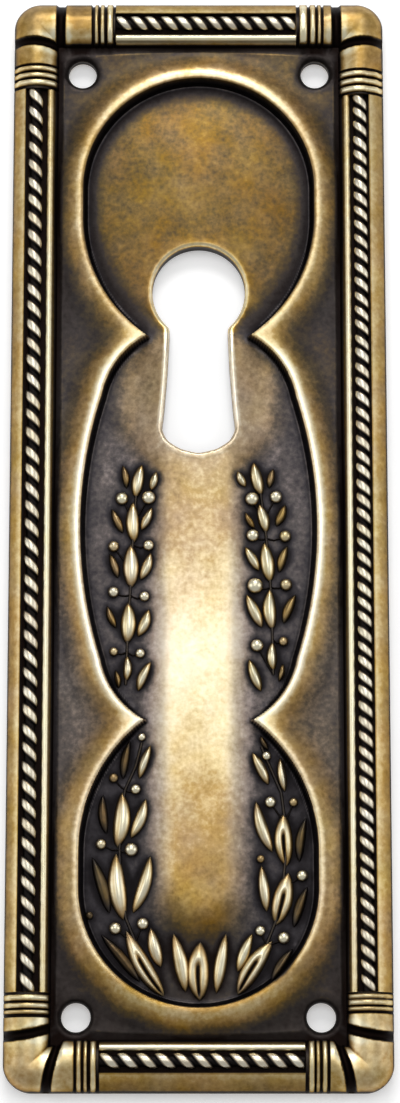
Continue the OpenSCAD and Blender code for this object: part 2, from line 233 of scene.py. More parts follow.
SPRIG_LEAVES = leaves_from(
    [
        (-4.95, 6.0, -5.5, 3.0, 0.95), (-5.7, 2.7, -5.6, -1.0, 1.05), (-5.9, -1.1, -5.85, -5.0, 1.25),
        (-6.1, -6.2, -6.2, -9.9, 1.2), (-6.2, -10.9, -6.25, -13.2, 0.7), (-3.7, 5.3, -4.15, 3.6, 0.65),
        (-4.05, 2.1, -5.0, 0.1, 0.7), (-4.15, -1.9, -5.05, -4.3, 0.8), (-4.3, -6.9, -5.25, -9.3, 0.85),
        (-4.1, -11.5, -5.25, -14.1, 0.75),
        (4.8, 6.2, 5.45, 3.2, 0.95), (5.25, 2.5, 5.9, -0.1, 0.9), (5.7, -0.9, 6.2, -4.5, 1.1),
        (6.2, -5.0, 6.4, -8.7, 1.05), (6.4, -9.7, 6.45, -12.3, 0.8), (3.4, 5.3, 4.1, 3.9, 0.65),
        (4.05, -1.4, 5.25, -3.5, 0.75), (4.15, -5.6, 5.5, -8.5, 0.9), (4.35, -11.3, 5.4, -14.1, 0.8),
    ]
) + leaves_from(
    [
        (-6.65, 6.0, -6.3, 3.9, 0.6), (-7.6, 2.1, -6.6, -0.1, 0.65), (-7.75, -1.9, -7.0, -4.1, 0.65),
        (-7.95, -6.5, -7.15, -8.5, 0.6), (-7.2, -12.2, -6.9, -13.8, 0.5),
        (6.55, 5.7, 6.15, 3.9, 0.6), (4.05, 1.7, 4.9, 0.2, 0.5), (7.6, 2.5, 6.75, 0.5, 0.7),
        (7.75, -1.2, 7.0, -3.6, 0.7), (8.45, -5.5, 7.35, -8.1, 0.75), (7.3, -11.6, 6.95, -13.2, 0.5),
    ],
    0.62,
)
SPRIG_BERRIES = [
    Berry(-6.7, 2.95, 0.48), Berry(-4.35, 2.95, 0.52), Berry(-7.4, -1.3, 0.42, 0.8),
    Berry(-4.35, -1.3, 0.4), Berry(-7.4, -5.35, 0.42), Berry(-4.7, -5.8, 0.38),
    Berry(-7.35, -10.6, 0.34, 0.8), Berry(-5.05, -10.8, 0.36),
    Berry(4.65, 2.85, 0.52), Berry(6.75, 3.1, 0.48), Berry(4.7, -0.4, 0.48), Berry(7.55, -0.4, 0.45, 0.8),
    Berry(4.9, -4.85, 0.6), Berry(7.6, -4.7, 0.46, 0.75), Berry(5.05, -10.1, 0.48),
    Berry(7.35, -9.7, 0.36, 0.7),
]
WREATH_LEAVES = leaves_from(
    [
        (0.15, -35.6, 0.1, -40.6, 1.7, 1), (-2.15, -34.9, -1.1, -39.9, 1.1), (2.35, -34.9, 1.5, -40.0, 0.95),
        (-4.1, -34.4, -3.2, -37.8, 1.0), (4.6, -34.9, 3.3, -38.2, 0.85),
        (-6.2, -34.6, -2.9, -40.3, 1.35, 1), (6.3, -35.5, 3.3, -40.1, 1.4, 1),
        (-7.05, -28.0, -6.4, -33.8, 1.35), (-4.1, -28.3, -5.6, -33.2, 1.0),
        (7.7, -29.7, 6.6, -34.2, 1.5, 1), (5.35, -29.1, 5.8, -33.1, 0.85),
        (-6.55, -22.8, -6.95, -27.6, 1.3), (-4.5, -23.4, -5.8, -26.8, 0.9),
        (7.3, -24.6, 7.5, -29.2, 1.4, 1), (4.9, -23.6, 6.3, -28.0, 0.95),
        (-4.1, -18.8, -5.1, -21.7, 0.7), (4.6, -19.4, 6.0, -22.2, 0.8), (7.0, -19.8, 7.4, -22.8, 0.7),
    ]
) + leaves_from(
    [
        (-8.3, -35.0, -5.0, -39.0, 0.8), (8.0, -36.2, 6.2, -38.9, 0.75), (-9.1, -28.4, -7.6, -33.2, 0.9),
        (9.3, -30.9, 8.1, -34.4, 0.75), (-8.2, -23.0, -7.9, -26.4, 0.75), (9.2, -25.0, 8.6, -28.8, 0.75),
        (-5.9, -18.3, -6.5, -21.7, 0.7), (5.3, -17.9, 6.0, -19.2, 0.45),
    ],
    0.42,
)
WREATH_BERRIES = [
    Berry(-7.1, -34.5, 0.46), Berry(-4.75, -34.1, 0.44), Berry(5.25, -34.7, 0.38), Berry(7.25, -35.3, 0.46),
    Berry(-8.35, -27.3, 0.4, 0.9), Berry(-5.75, -27.8, 0.5), Berry(-5.4, -22.6, 0.38),
    Berry(-7.3, -21.6, 0.36, 0.6), Berry(-4.9, -18.1, 0.3), Berry(8.85, -30.0, 0.42),
    Berry(6.15, -23.7, 0.42), Berry(8.15, -23.7, 0.34, 0.7), Berry(5.85, -19.7, 0.34),
    Berry(-9.3, -33.4, 0.3, 0.4), Berry(5.3, -28.6, 0.3, 0.6),
]


SPRIG_STEMS = [
    [(-5.45, 3.4), (-5.6, 1.0), (-5.75, -1.1), (-5.85, -3.4), (-5.95, -5.6), (-6.1, -8.0), (-6.2, -10.6),
     (-6.3, -13.5)],
    [(5.4, 3.5), (5.7, 1.2), (5.9, -0.6), (6.1, -2.8), (6.25, -4.9), (6.35, -7.0), (6.4, -9.5), (6.45, -12.6)],
]
WREATH_STEMS = [
    [(-4.9, -18.6), (-5.4, -20.6), (-6.3, -22.6), (-6.75, -25.2), (-6.75, -27.8), (-6.7, -30.6), (-6.2, -33.6),
     (-5.4, -35.6)],
    [(5.4, -18.9), (6.2, -20.8), (7.1, -22.9), (7.4, -25.4), (7.45, -28.2), (7.2, -30.8), (6.6, -33.8),
     (5.8, -35.8)],
]


@dataclass(frozen=True)
class Spray:
    """One piece of laurel.

    Attributes:
        name: Piece name.
        leaves: Its leaves.
        berries: Its berries.
        stems: Its stems, each a line of plan points.
        seed: Seed of the small unevenness of its leaves.
    """

    name: str
    leaves: list[Leaf]
    berries: list[Berry]
    stems: list[list[tuple[float, float]]]
    seed: int


SPRAYS = (
    Spray("laurel_sprigs", SPRIG_LEAVES, SPRIG_BERRIES, SPRIG_STEMS, 5),
    Spray("laurel_wreath", WREATH_LEAVES, WREATH_BERRIES, WREATH_STEMS, 9),
)


def smoothstep(low: float, high: float, x: Array) -> Array:
    """Smooth rise from 0 at low to 1 at high.

    Args:
        low: Where it starts.
        high: Where it ends.
        x: Values.

    Returns:
        The rise at each value.
    """
    t = np.clip((x - low) / (high - low), 0.0, 1.0)
    return t * t * (3.0 - 2.0 * t)


def ripple(p: Array) -> Array:
    """Slow unevenness of pressed sheet, from -1 to 1.

    Args:
        p: Plan points, one row each.

    Returns:
        One value a point.
    """
    x, y = p[:, 0], p[:, 1]
    return (
        np.sin(0.83 * x + 0.31 * y + 1.7) * np.cos(0.47 * y - 0.22 * x)
        + 0.6 * np.sin(1.9 * x - 0.7 * y) * np.sin(1.3 * y + 0.4)
        + 0.35 * np.sin(3.7 * x + 2.1 * y) * np.cos(3.1 * y - 1.1 * x)
    ) / 1.95


def lengths_along(line: Array) -> Array:
    """Length along a line, at each of its points.

    Args:
        line: Plan points in order.

    Returns:
        One length a point, from 0.
    """
    return np.concatenate([[0.0], np.cumsum(np.hypot(*np.diff(line, axis=0).T))])


def points_along(line: Array, at: Array) -> Array:
    """Points at given lengths along a line.

    Args:
        line: Plan points in order.
        at: The lengths.

    Returns:
        One plan point a length.
    """
    run = lengths_along(line)
    return np.column_stack([np.interp(at, run, line[:, k]) for k in (0, 1)])


def by_level_edge(p: Array) -> Array:
    """Whether each plan point is nearer the top or bottom edge than a side edge."""
    return (np.abs(p[:, 1]) - SIZE.half_h) > (np.abs(p[:, 0]) - SIZE.half_w)


def grid_points(xs: Array, ys: Array) -> Array:
    """Plan points at every pair of x and y.

    Args:
        xs: The x places.
        ys: The y places.

    Returns:
        The points, row by row.
    """
    gx, gy = np.meshgrid(xs, ys)
    return np.column_stack([gx.ravel(), gy.ravel()])


def bell(x: Array, width: float) -> Array:
    """A bell curve that is 1 at x = 0 and falls to 0.37 at the width."""
    return np.exp(-((x / width) ** 2))


def pin_gap(p: Array) -> Array:
    """Distance of plan points from the nearest pin hole, negative within it."""
    return np.hypot(np.abs(p[:, 0]) - SIZE.pin_x, np.abs(p[:, 1]) - SIZE.pin_y) - SIZE.pin_r


def pin_rings(grow: float = 0.0) -> list[Array]:
    """Rings of points round the four pin holes.

    Args:
        grow: How far outside the holes they run.

    Returns:
        One ring a hole.
    """
    turn = np.linspace(0.0, 2.0 * np.pi, 40, endpoint=False)
    circle = (SIZE.pin_r + grow) * np.column_stack([np.cos(turn), np.sin(turn)])
    return [circle + np.array([sx * SIZE.pin_x, sy * SIZE.pin_y]) for sx in (-1, 1) for sy in (-1, 1)]


class LobeOutline:
    """Outline of the three drawn lobes, with its offsets and distances."""

    def __init__(self, arcs: Sequence[Arc], step: float = 0.26) -> None:
        """Works out how many points each arc gets.

        Args:
            arcs: Right-hand arcs from the top down.
            step: Distance from point to point along the outline.
        """
        self.arcs = arcs
        self.counts = []
        for i, arc in enumerate(arcs):
            a, b = self._angles(i, 0.0)
            self.counts.append(max(3, round(abs(a - b) * arc.radius / step)))
        right = self._right(0.0)
        order = np.argsort(right[:, 1])
        self._ys, self._xs = right[order, 1], right[order, 0]

    def _side(self, i: int, grow: float) -> Array:
        """The point of arc i that lies furthest to the right."""
        arc = self.arcs[i]
        return np.array([arc.x + arc.radius + grow, arc.y])

    def _start(self, i: int, grow: float) -> Array:
        """Where an arc of the grown outline starts.

        Args:
            i: The arc's number; one past the last gives the outline's end.
            grow: How far the outline is grown.

        Returns:
            The point.
        """
        if i == 0:
            return np.array([0.0, self.arcs[0].y + self.arcs[0].radius + grow])
        if i == len(self.arcs):
            return np.array([0.0, self.arcs[-1].y - self.arcs[-1].radius - grow])
        a, b = self.arcs[i - 1], self.arcs[i]
        if a.run:
            return self._side(i, grow)
        ca, cb = np.array([a.x, a.y]), np.array([b.x, b.y])
        ra, rb, d = a.radius + grow, b.radius + grow, cb - ca
        m = float(np.hypot(*d))
        t = (ra * ra - rb * rb + m * m) / (2.0 * m)
        h = math.sqrt(max(ra * ra - t * t, 0.0))
        p, q = ca + d * t / m, np.array([-d[1], d[0]]) * h / m
        return p + q if (p + q)[0] > (p - q)[0] else p - q

    def _end(self, i: int, grow: float) -> Array:
        """Where arc i of the grown outline ends."""
        return self._side(i, grow) if self.arcs[i].run else self._start(i + 1, grow)

    def _angles(self, i: int, grow: float) -> tuple[float, float]:
        """Turns at which an arc starts and ends.

        Args:
            i: The arc's number.
            grow: How far the outline is grown.

        Returns:
            Both turns, in radians.
        """
        c = np.array([self.arcs[i].x, self.arcs[i].y])
        a, b = self._start(i, grow) - c, self._end(i, grow) - c
        return math.atan2(a[1], a[0]), math.atan2(b[1], b[0])

    def _right(self, grow: float) -> Array:
        """The right-hand half of the grown outline.

        Args:
            grow: How far it is grown.

        Returns:
            Points from the top down.
        """
        out = []
        for i, (arc, n) in enumerate(zip(self.arcs, self.counts)):
            a, b = self._angles(i, grow)
            t = a + (b - a) * np.arange(n) / n
            r = arc.radius + grow
            out.append(np.column_stack([arc.x + r * np.cos(t), arc.y + r * np.sin(t)]))
            if arc.run:
                share = np.linspace(0.0, 1.0, 10, endpoint=False)[:, None]
                out.append(self._end(i, grow) * (1 - share) + self._start(i + 1, grow) * share)
        out.append(self._start(len(self.arcs), grow)[None, :])
        return np.vstack(out)

    def ring(self, grow: float) -> Array:
        """The whole outline grown by a distance.

        Args:
            grow: The distance, negative to shrink.

        Returns:
            Points in order.
        """
        right = self._right(grow)
        left = right[-2:0:-1] * np.array([-1.0, 1.0])
        return np.vstack([right, left])

    def _lobe_distances(self, q: Array) -> Array:
        """Distance of right-hand points from the outline of each lobe.

        Args:
            q: Plan points with x at least 0.

        Returns:
            Three distances a point.
        """
        best = np.full((len(q), 3), 99.0)
        for i, arc in enumerate(self.arcs):
            a, b = self._angles(i, 0.0)
            v = q - np.array([arc.x, arc.y])
            r, t = np.hypot(v[:, 0], v[:, 1]), np.arctan2(v[:, 1], v[:, 0])
            first, last = self._start(i, 0.0), self._end(i, 0.0)
            ends = np.minimum(np.hypot(*(q - first).T), np.hypot(*(q - last).T))
            d = np.where((t <= a) & (t >= b), np.abs(r - arc.radius), ends)
            if arc.run:
                after = self._start(i + 1, 0.0)
                y = np.clip(q[:, 1], min(last[1], after[1]), max(last[1], after[1]))
                d = np.minimum(d, np.hypot(q[:, 0] - last[0], q[:, 1] - y))
            best[:, arc.lobe] = np.minimum(best[:, arc.lobe], d)
        return best

    def distance(self, p: Array) -> Array:
        """Distance from the outline, negative inside the lobes.

        Args:
            p: Plan points.

        Returns:
            One distance a point, blended where two lobes are about as near.
        """
        q = np.column_stack([np.abs(p[:, 0]), p[:, 1]])
        lobes = self._lobe_distances(q)
        best = lobes.min(1)
        soft = best - 0.7 * np.log(np.exp(-(lobes - best[:, None]) / 0.7).sum(1))
        mixed = best + (soft - best) * smoothstep(0.25, 1.3, best)
        reach = np.interp(q[:, 1], self._ys, self._xs, left=0.0, right=0.0)
        return np.where(q[:, 0] < reach, -best, mixed)


class KeyholeOutline:
    """Outline of the keyhole: a round bow over a flared slot with a pointed foot."""

    BOW_R, BOW_Y = 4.1, 21.7
    NECK_HALF_W = 2.55
    FLANK = ((-2.58, 17.4), (-2.72, 14.5), (-3.0, 11.0), (-3.22, 9.1), (-2.75, 8.1), (-1.6, 7.35))
    FOOT = (0.0, 6.95)

    def __init__(self, step: float = 0.16) -> None:
        """Draws the outline and softens its corners.

        Args:
            step: Distance from point to point.
        """
        neck = math.acos(self.NECK_HALF_W / self.BOW_R)
        turn = np.linspace(-neck, math.pi + neck, 90)
        bow = np.column_stack([self.BOW_R * np.cos(turn), self.BOW_Y + self.BOW_R * np.sin(turn)])
        left = np.array(self.FLANK)
        right = (left * np.array([-1.0, 1.0]))[::-1]
        closed = np.vstack([bow, left, self.FOOT, right, bow[:1]])
        length = lengths_along(closed)[-1]
        line = points_along(closed, np.linspace(0.0, length, int(length / step), endpoint=False))
        for _ in range(5):
            line = (np.roll(line, 1, 0) + 2.0 * line + np.roll(line, -1, 0)) / 4.0
        self.line = line
        along = np.roll(line, -1, 0) - np.roll(line, 1, 0)
        along /= np.hypot(*along.T)[:, None]
        self.out = np.column_stack([along[:, 1], -along[:, 0]])

    def ring(self, grow: float) -> Array:
        """The outline grown by a distance.

        Args:
            grow: The distance.

        Returns:
            Points in order.
        """
        return self.line + self.out * grow

    def distance(self, p: Array) -> Array:
        """Distance from the outline, negative inside the hole.

        Args:
            p: Plan points.

        Returns:
            One distance a point; far points get a large one.
        """
        out = np.full(len(p), 99.0)
        near = (np.abs(p[:, 0]) < 7.0) & (p[:, 1] > 4.0) & (p[:, 1] < 29.0)
        idx = np.nonzero(near)[0]
        for part in np.array_split(idx, max(1, len(idx) // 4000)):
            d = p[part][:, None, :] - self.line[None, :, :]
            dist = np.hypot(d[..., 0], d[..., 1])
            k = dist.argmin(1)
            side = (d[np.arange(len(part)), k] * self.out[k]).sum(1)
            out[part] = np.where(side < 0, -dist.min(1), dist.min(1))
        return out


LIP = Profile(
    (0.0, 0.05, 0.13, 0.3, 0.55, 0.85, 1.15, 1.5, 1.9, 2.3, 2.8, 3.3),
    (2.36, 2.41, 2.445, 2.46, 2.44, 2.37, 2.25, 2.07, 1.87, 1.7, 1.56, 1.5),
)
KEY_RIM = Profile(
    (-0.2, 0.0, 0.05, 0.13, 0.25, 0.4, 0.6, 0.9),
    (-0.8, -0.34, -0.16, -0.02, 0.05, 0.06, 0.02, 0.0),
)
PIN_SINK = Profile((-0.2, 0.0, 0.06, 0.18, 0.4, 0.65), (-0.8, -0.5, -0.34, -0.14, 0.0, 0.0))
WALL_W = 0.13
INNER_BEAD = (2.96, 3.64)
FOOT_LINE_IN, FOOT_LINE_W = 0.43, 0.13
LEDGE_IN, LEDGE_W = 0.46, 0.14
CUSPS = ((4.5, 17.5), (4.6, -16.7))
BORDER_END = 3.98
BORDER_LOW_Z, BORDER_TOP_Z = 1.2, 3.17
GROOVE_DEEP, GROOVE_HALF_W = 0.62, 0.42
FOOT_BOW = 0.0035


class LipWearAndHighlight(Enum):
    """How bright lip and field are beside each lobe, by distance from the outline: rubbed wear and a painted
    highlight along the top of the lip.
    """

    UPPER = (0.36, 0.5, 0.64, 0.66, 0.58, 0.49, 0.44, 0.41, 0.37, 0.33, 0.28)
    MIDDLE = (0.42, 0.68, 0.8, 0.78, 0.6, 0.51, 0.44, 0.4, 0.37, 0.34, 0.3)
    LOWER = (0.42, 0.66, 0.61, 0.54, 0.52, 0.51, 0.49, 0.43, 0.38, 0.33, 0.27)
    UNDER = (0.3, 0.4, 0.47, 0.6, 0.66, 0.58, 0.5, 0.47, 0.4, 0.33, 0.27)

    def at(self, d: Array) -> Array:
        """The rubbed value at each distance from the outline."""
        return Profile((0.0, 0.12, 0.3, 0.6, 0.85, 1.1, 1.5, 2.1, 2.8, 4.0, 6.5), self.value).at(d)


FIELD_UP = Profile(
    (-44.0, -39.0, -34.0, -24.0, -10.0, 4.0, 18.0, 28.0, 44.0),
    (0.58, 0.66, 0.88, 1.12, 1.16, 1.02, 0.84, 0.84, 0.98),
)
# Brightness of the middle lobe's ridge along y: rubbed wear and a painted highlight, brightest near y -10.
RIDGE_WEAR_AND_HIGHLIGHT = Profile(
    (-37.0, -35.0, -31.0, -26.0, -21.0, -17.0, -10.0, -5.0, 0.0, 4.0, 8.0, 14.0, 18.0),
    (0.22, 0.42, 0.57, 0.67, 0.73, 0.78, 0.86, 0.75, 0.64, 0.6, 0.58, 0.57, 0.47),
)
PLAIN_ACROSS = Profile((0.0, 0.4, 1.2, 2.4, 3.3, 3.8, 4.0), (0.38, 0.5, 0.57, 0.63, 0.74, 0.46, 0.05))
OUTER_ACROSS = Profile((0.0, 0.2, 0.6, 0.88, 1.03), (0.8, 0.95, 1.03, 1.3, 0.6))
INNER_ACROSS = Profile((2.97, 3.02, 3.12, 3.5, 3.64, 3.78, 3.98), (0.2, 0.72, 0.9, 0.9, 0.6, 0.4, 0.1))
INNER_UP = Profile((-40.0, -30.0, -15.0, 5.0, 20.0, 32.0, 40.0), (0.76, 0.88, 1.0, 0.97, 0.86, 0.74, 0.68))


class Relief:
    """Heights and rubbed patches of the whole face."""

    def __init__(self) -> None:
        """Draws both outlines."""
        self.lobes = LobeOutline(LOBE_ARCS)
        self.keyhole = KeyholeOutline()

    @staticmethod
    def inset(p: Array) -> Array:
        """Distance inside the plate's rounded outline.

        Args:
            p: Plan points.

        Returns:
            One distance a point.
        """
        qx = np.abs(p[:, 0]) - (SIZE.half_w - SIZE.corner_r)
        qy = np.abs(p[:, 1]) - (SIZE.half_h - SIZE.corner_r)
        out = np.hypot(np.maximum(qx, 0.0), np.maximum(qy, 0.0))
        return SIZE.corner_r - out - np.minimum(np.maximum(qx, qy), 0.0)

    @staticmethod
    def floor(p: Array) -> Array:
        """Height of the lobes' floor.

        Args:
            p: Plan points.

        Returns:
            One height a point.
        """
        x, y = p[:, 0], p[:, 1]
        dome = 1.0 - (x * x + (y - 29.05) ** 2) / 10.5**2
        across = np.hypot(x, np.minimum(0.0, y + 30.3))
        ridge = 0.4 * (1.0 - (across / 7.6) ** 2) + 0.6 * (1.0 - smoothstep(2.3, 6.0, across))
        ridge = ridge * (1.0 - smoothstep(15.5, 19.5, y))
        return SIZE.floor_z + SIZE.floor_rise * np.maximum(np.maximum(dome, ridge), 0.0)

    def panel(self, p: Array) -> Array:
        """Height inside the border: field, lip, wall and floor.

        Args:
            p: Plan points.

        Returns:
            One height a point.
        """
        d = self.lobes.distance(p)
        floor = self.floor(p) + 0.13 * self.foot_line(p, d)
        wall = floor + (LIP.values[0] - floor) * np.clip(1.0 + d / WALL_W, 0.0, 1.0)
        z = np.where(d < 0.0, wall, LIP.at(d))
        ledge = self.foot(p) - LEDGE_IN
        step = 0.07 * bell(ledge, LEDGE_W) - 0.05 * smoothstep(0.2, -0.1, ledge)
        z = z + np.where(d > 1.0, step, 0)
        return z + KEY_RIM.at(self.keyhole.distance(p)) + PIN_SINK.at(pin_gap(p)) + 0.012 * ripple(p)

    @staticmethod
    def foot(p: Array) -> Array:
        """Distance from the foot of the border, which comes further in at the bottom bar.

        Args:
            p: Plan points.

        Returns:
            One distance a point.
        """
        reach = SIZE.inner_y - np.where(p[:, 1] < 0.0, Bar.BOTTOM.value.seat[2], 0.0)
        return np.minimum(SIZE.inner_x - np.abs(p[:, 0]), reach - FOOT_BOW * p[:, 0] ** 2 - np.abs(p[:, 1]))

    @staticmethod
    def cusp(p: Array) -> Array:
        """Distance from the nearest point where two lobes meet.

        Args:
            p: Plan points.

        Returns:
            One distance a point.
        """
        return np.minimum(*(np.hypot(np.abs(p[:, 0]) - x, p[:, 1] - y) for x, y in CUSPS))

    def foot_line(self, p: Array, d: Array) -> Array:
        """The fine bead that runs along the foot of the lobes' wall.

        Args:
            p: Plan points.
            d: Their distances from the outline.

        Returns:
            Values from 0 to 1.
        """
        return bell(d + FOOT_LINE_IN, FOOT_LINE_W) * smoothstep(0.9, 1.9, self.cusp(p))

    @staticmethod
    def bars(p: Array) -> list[tuple[Bar, Array, Array]]:
        """Which border points are on each bar, and their run along it.

        Args:
            p: Plan points.

        Returns:
            Each bar with its mask and the run of its points.
        """
        x, y, level = p[:, 0], p[:, 1], by_level_edge(p)
        masks = (
            (Bar.TOP, level & (y > 0)), (Bar.BOTTOM, level & (y <= 0)),
            (Bar.LEFT, ~level & (x <= 0)), (Bar.RIGHT, ~level & (x > 0)),
        )
        return [(bar, mask, (x if bar.level else y)[mask]) for bar, mask in masks]

    def _roped(self, p: Array) -> Array:
        """Whether border points lie between the two ends of their bar's rope.

        Args:
            p: Plan points.

        Returns:
            One truth value a point.
        """
        out = np.zeros(len(p), bool)
        for bar, mask, run in self.bars(p):
            out[mask] = (run > bar.start) & (run < bar.end)
        return out

    def seat(self, p: Array) -> Array:
        """Places of the border once each bar's strips and rope are set in by their own amounts.

        Args:
            p: Even plan points.

        Returns:
            The points moved.
        """
        out, w = p.copy(), self.inset(p)
        for bar, mask, run in self.bars(p):
            strip, rope, bead = bar.value.seat
            steps = Profile((0.15, 1.0, 1.1, 1.6, 2.4, 2.92, 4.2), (0.0, strip, strip, rope, rope, bead, bead))
            by = steps.at(w[mask])
            fade = (11.3, 12.3) if bar.level else (41.6, 42.6)
            by = by * (1.0 - smoothstep(*fade, np.abs(run)))
            axis = 1 if bar.level else 0
            out[mask, axis] -= np.sign(p[mask, axis]) * by
        return out

    def _ring_rise(self, p: Array) -> Array:
        """How far the tie rings stand off the arch.

        Args:
            p: Plan points.

        Returns:
            One rise a point, below 0 between rings and 0 away from them.
        """
        rise = np.zeros(len(p))
        for bar, mask, run in self.bars(p):
            out = np.zeros(len(run))
            for beyond, ties in ((bar.start - run, bar.value.start_ties), (run - bar.end, bar.value.end_ties)):
                last = sum(ties[-1])
                out = np.where((beyond > 0.02) & (beyond < last + 0.24), -0.17, out)
                for at, half in ties:
                    ds = (beyond - at) / half
                    ring = (0.06 + 0.58 * half) * np.sqrt(np.maximum(1.0 - ds * ds, 0.0))
                    out = np.where(np.abs(ds) < 1.0, np.maximum(ring, 0.001), out)
            rise[mask] = out
        return rise

    @staticmethod
    def groove_gap(p: Array) -> Array:
        """Distance from the middle of the nearest corner groove.

        Args:
            p: Plan points.

        Returns:
            One distance a point.
        """
        x, y, low = np.abs(p[:, 0]), np.abs(p[:, 1]), p[:, 1] < 0.0
        out_x, out_y = x - SIZE.inner_x, y - SIZE.inner_y
        leaning = 11.75 + 0.28 * out_y + 0.05 * out_y * (4.0 - out_y)
        on_level = np.abs(x - np.where(low, leaning, 12.36 - 0.02 * out_y))
        bow = 0.05 * out_x * (4.2 - out_x)
        on_side = np.abs(y - np.where(low, 42.95 + 0.17 * out_x + bow, 44.22 + 0.06 * out_x + bow))
        return np.where(by_level_edge(p), on_level, on_side)

    def border(self, p: Array) -> Array:
        """Height of the border moulding.

        Args:
            p: Plan points.

        Returns:
            One height a point.
        """
        w, roped = self.inset(p), self._roped(p)
        u = np.clip(w - SIZE.border_w / 2, -2.0, 2.0)
        r = SIZE.arch_r + np.clip(self._ring_rise(p), -0.3, 0.3)
        z = SIZE.arch_axis_z + np.sqrt(np.maximum(r * r - u * u, 0.15))
        bead_mid, bead_half = sum(INNER_BEAD) / 2, (INNER_BEAD[1] - INNER_BEAD[0]) / 2
        bead = 2.1 + 0.42 * np.sqrt(np.clip(1.0 - ((w - bead_mid) / bead_half) ** 2, 0.0, 1.0))
        bead = bead - 1.5 * np.clip(w - INNER_BEAD[1], 0.0, 0.4)
        z = np.where(roped & (u > SIZE.channel_half_w), bead, z)
        z = np.where(roped & (np.abs(u) <= SIZE.channel_half_w), SIZE.channel_z - 0.05, z)
        z = z - GROOVE_DEEP * np.sqrt(np.clip(1.0 - (self.groove_gap(p) / GROOVE_HALF_W) ** 2, 0.0, 1.0))
        z = np.where(w < 0.3, np.minimum(z, 1.62 + 0.55 * np.sqrt(np.clip(w / 0.3, 0.0, 1.0))), z)
        z = np.where(w > 3.84, np.minimum(z, SIZE.field_z + 0.75 * (4.0 - w) / 0.16), z)
        return np.minimum(np.maximum(z, BORDER_LOW_Z) + 0.015 * ripple(p * 1.7), BORDER_TOP_Z)

    def height(self, p: Array) -> Array:
        """Height of the face without ropes and laurel.

        Args:
            p: Plan points.

        Returns:
            One height a point.
        """
        return np.where(self.inset(p) < BORDER_END, self.border(p), self.panel(p))

    def wear_and_painted_light(self, p: Array) -> Array:
        """How bright each place is, from 0 for blackened to 1 for cream: patina and rubbed wear, with painted
        highlights.

        Args:
            p: Plan points.

        Returns:
            One value a point.
        """
        d, w = self.lobes.distance(p), self.inset(p)
        value = np.where(d < 0.0, self._floor_rub(p, d), self._field_rub(p, d))
        return np.where(w < BORDER_END, self._border_rub(p, w), value)

    def _field_rub(self, p: Array, d: Array) -> Array:
        """How bright lip and field are: rubbed wear, with painted highlights on the lip and round the pin holes.

        Args:
            p: Plan points.
            d: Their distances from the lobes' outline.

        Returns:
            One value a point.
        """
        x, y = p[:, 0], p[:, 1]
        ax, foot, cusp = np.abs(x), self.foot(p), self.cusp(p)
        upper, middle, lower, under = (wear.at(d) for wear in LipWearAndHighlight)
        up, low, end = smoothstep(15.0, 20.0, y), smoothstep(-15.5, -19.5, y), smoothstep(-37.0, -40.0, y)
        turn = np.arctan2(ax, y - 31.0)
        # Painted highlight: the upper lobe's lip is brighter at its top and a little on its right side.
        upper = upper * (0.9 + 0.16 * smoothstep(1.2, 0.5, turn) + 0.03 * np.sign(x) * smoothstep(0.3, 1.0, ax))
        value = upper * up + (lower + (under - lower) * end) * low + middle * (1.0 - up - low)
        near, wide = np.where(y > 0.0, 0.72, 0.86), np.where(y > 0.0, 0.56, 0.66)
        value = np.maximum(value, near * bell(cusp, 3.1) * smoothstep(0.0, 0.2, d))
        value = np.maximum(value, wide * bell(cusp, 5.4))
        along = FIELD_UP.at(y)
        value = value * (1.0 + (along - 1.0) * smoothstep(1.2, 2.6, d))
        gap = smoothstep(0.05, 0.34, foot)
        value = value * (0.25 + 0.75 * np.maximum(gap, smoothstep(0.9, 0.4, d)))
        ledge = bell(foot - LEDGE_IN, LEDGE_W) * (0.8 + 0.2 * ripple(p)) * smoothstep(0.8, 1.6, d)
        value = np.maximum(value, np.where(ax < foot + 11.0, 0.5, 0.45) * ledge * np.minimum(along, 1.0))
        pins = pin_gap(p)
        value = value * (0.15 + 0.85 * smoothstep(0.2, 1.0, pins))
        # Pale ring at the edge of each pin hole: rubbed edge and painted highlight.
        return np.maximum(value, 0.34 * bell(pins - 0.3, 0.1))

    def _floor_rub(self, p: Array, d: Array) -> Array:
        """How bright the drawn floor is: patina and wear, with painted highlights on the ridge and round the
        keyhole.

        Args:
            p: Plan points.
            d: Their distances from the lobes' outline.

        Returns:
            One value a point.
        """
        x, y = p[:, 0], p[:, 1]
        inner = np.clip(-d, 0.0, None)
        low_side = smoothstep(-0.2, -0.95, np.arctan2(y - 31.0, np.abs(x))) * (y > 17.0)
        upper = 0.19 + 0.23 * smoothstep(0.4, 1.9 + 1.1 * low_side, inner)
        # Rubbed wear and a painted highlight along the ridge, its sides left darker.
        level = RIDGE_WEAR_AND_HIGHLIGHT.at(y) + 0.06 * ripple(p * 0.5) + 0.04 * ripple(p * 1.3)
        across = np.hypot(x, np.minimum(0.0, y + 31.5))
        wide = 3.6 + 2.4 * smoothstep(5.0, 11.5, y) - 0.25 * np.sin(0.35 * y + 0.8)
        neck = bell(y + 16.0, 5.0)
        ridge = 1.0 - smoothstep(0.0, 1.0, (across - wide + 0.9) / (2.3 + 1.2 * neck))
        side = 0.36 + 0.06 * smoothstep(9.0, 3.0, np.abs(x)) + 0.05 * ripple(p * 0.8)
        side = side - 0.08 * smoothstep(-19.0, -25.0, y)
        lower = side + (level - side) * ridge
        mix = smoothstep(16.3, 18.6, y)
        value = (lower * (1.0 - mix) + upper * mix) * smoothstep(0.1, 0.3, inner)
        value = np.maximum(value, 0.5 * self.foot_line(p, d))
        # Pale rim round the keyhole: rubbed edge and painted highlight.
        k = self.keyhole.distance(p)
        reach = 0.4 + 0.2 * smoothstep(19.5, 17.5, y)
        rim = smoothstep(0.0, -0.2, k - reach) * smoothstep(-0.01, 0.07, k)
        return np.maximum(value, rim * (0.76 - 0.3 * smoothstep(10.5, 8.2, y)))

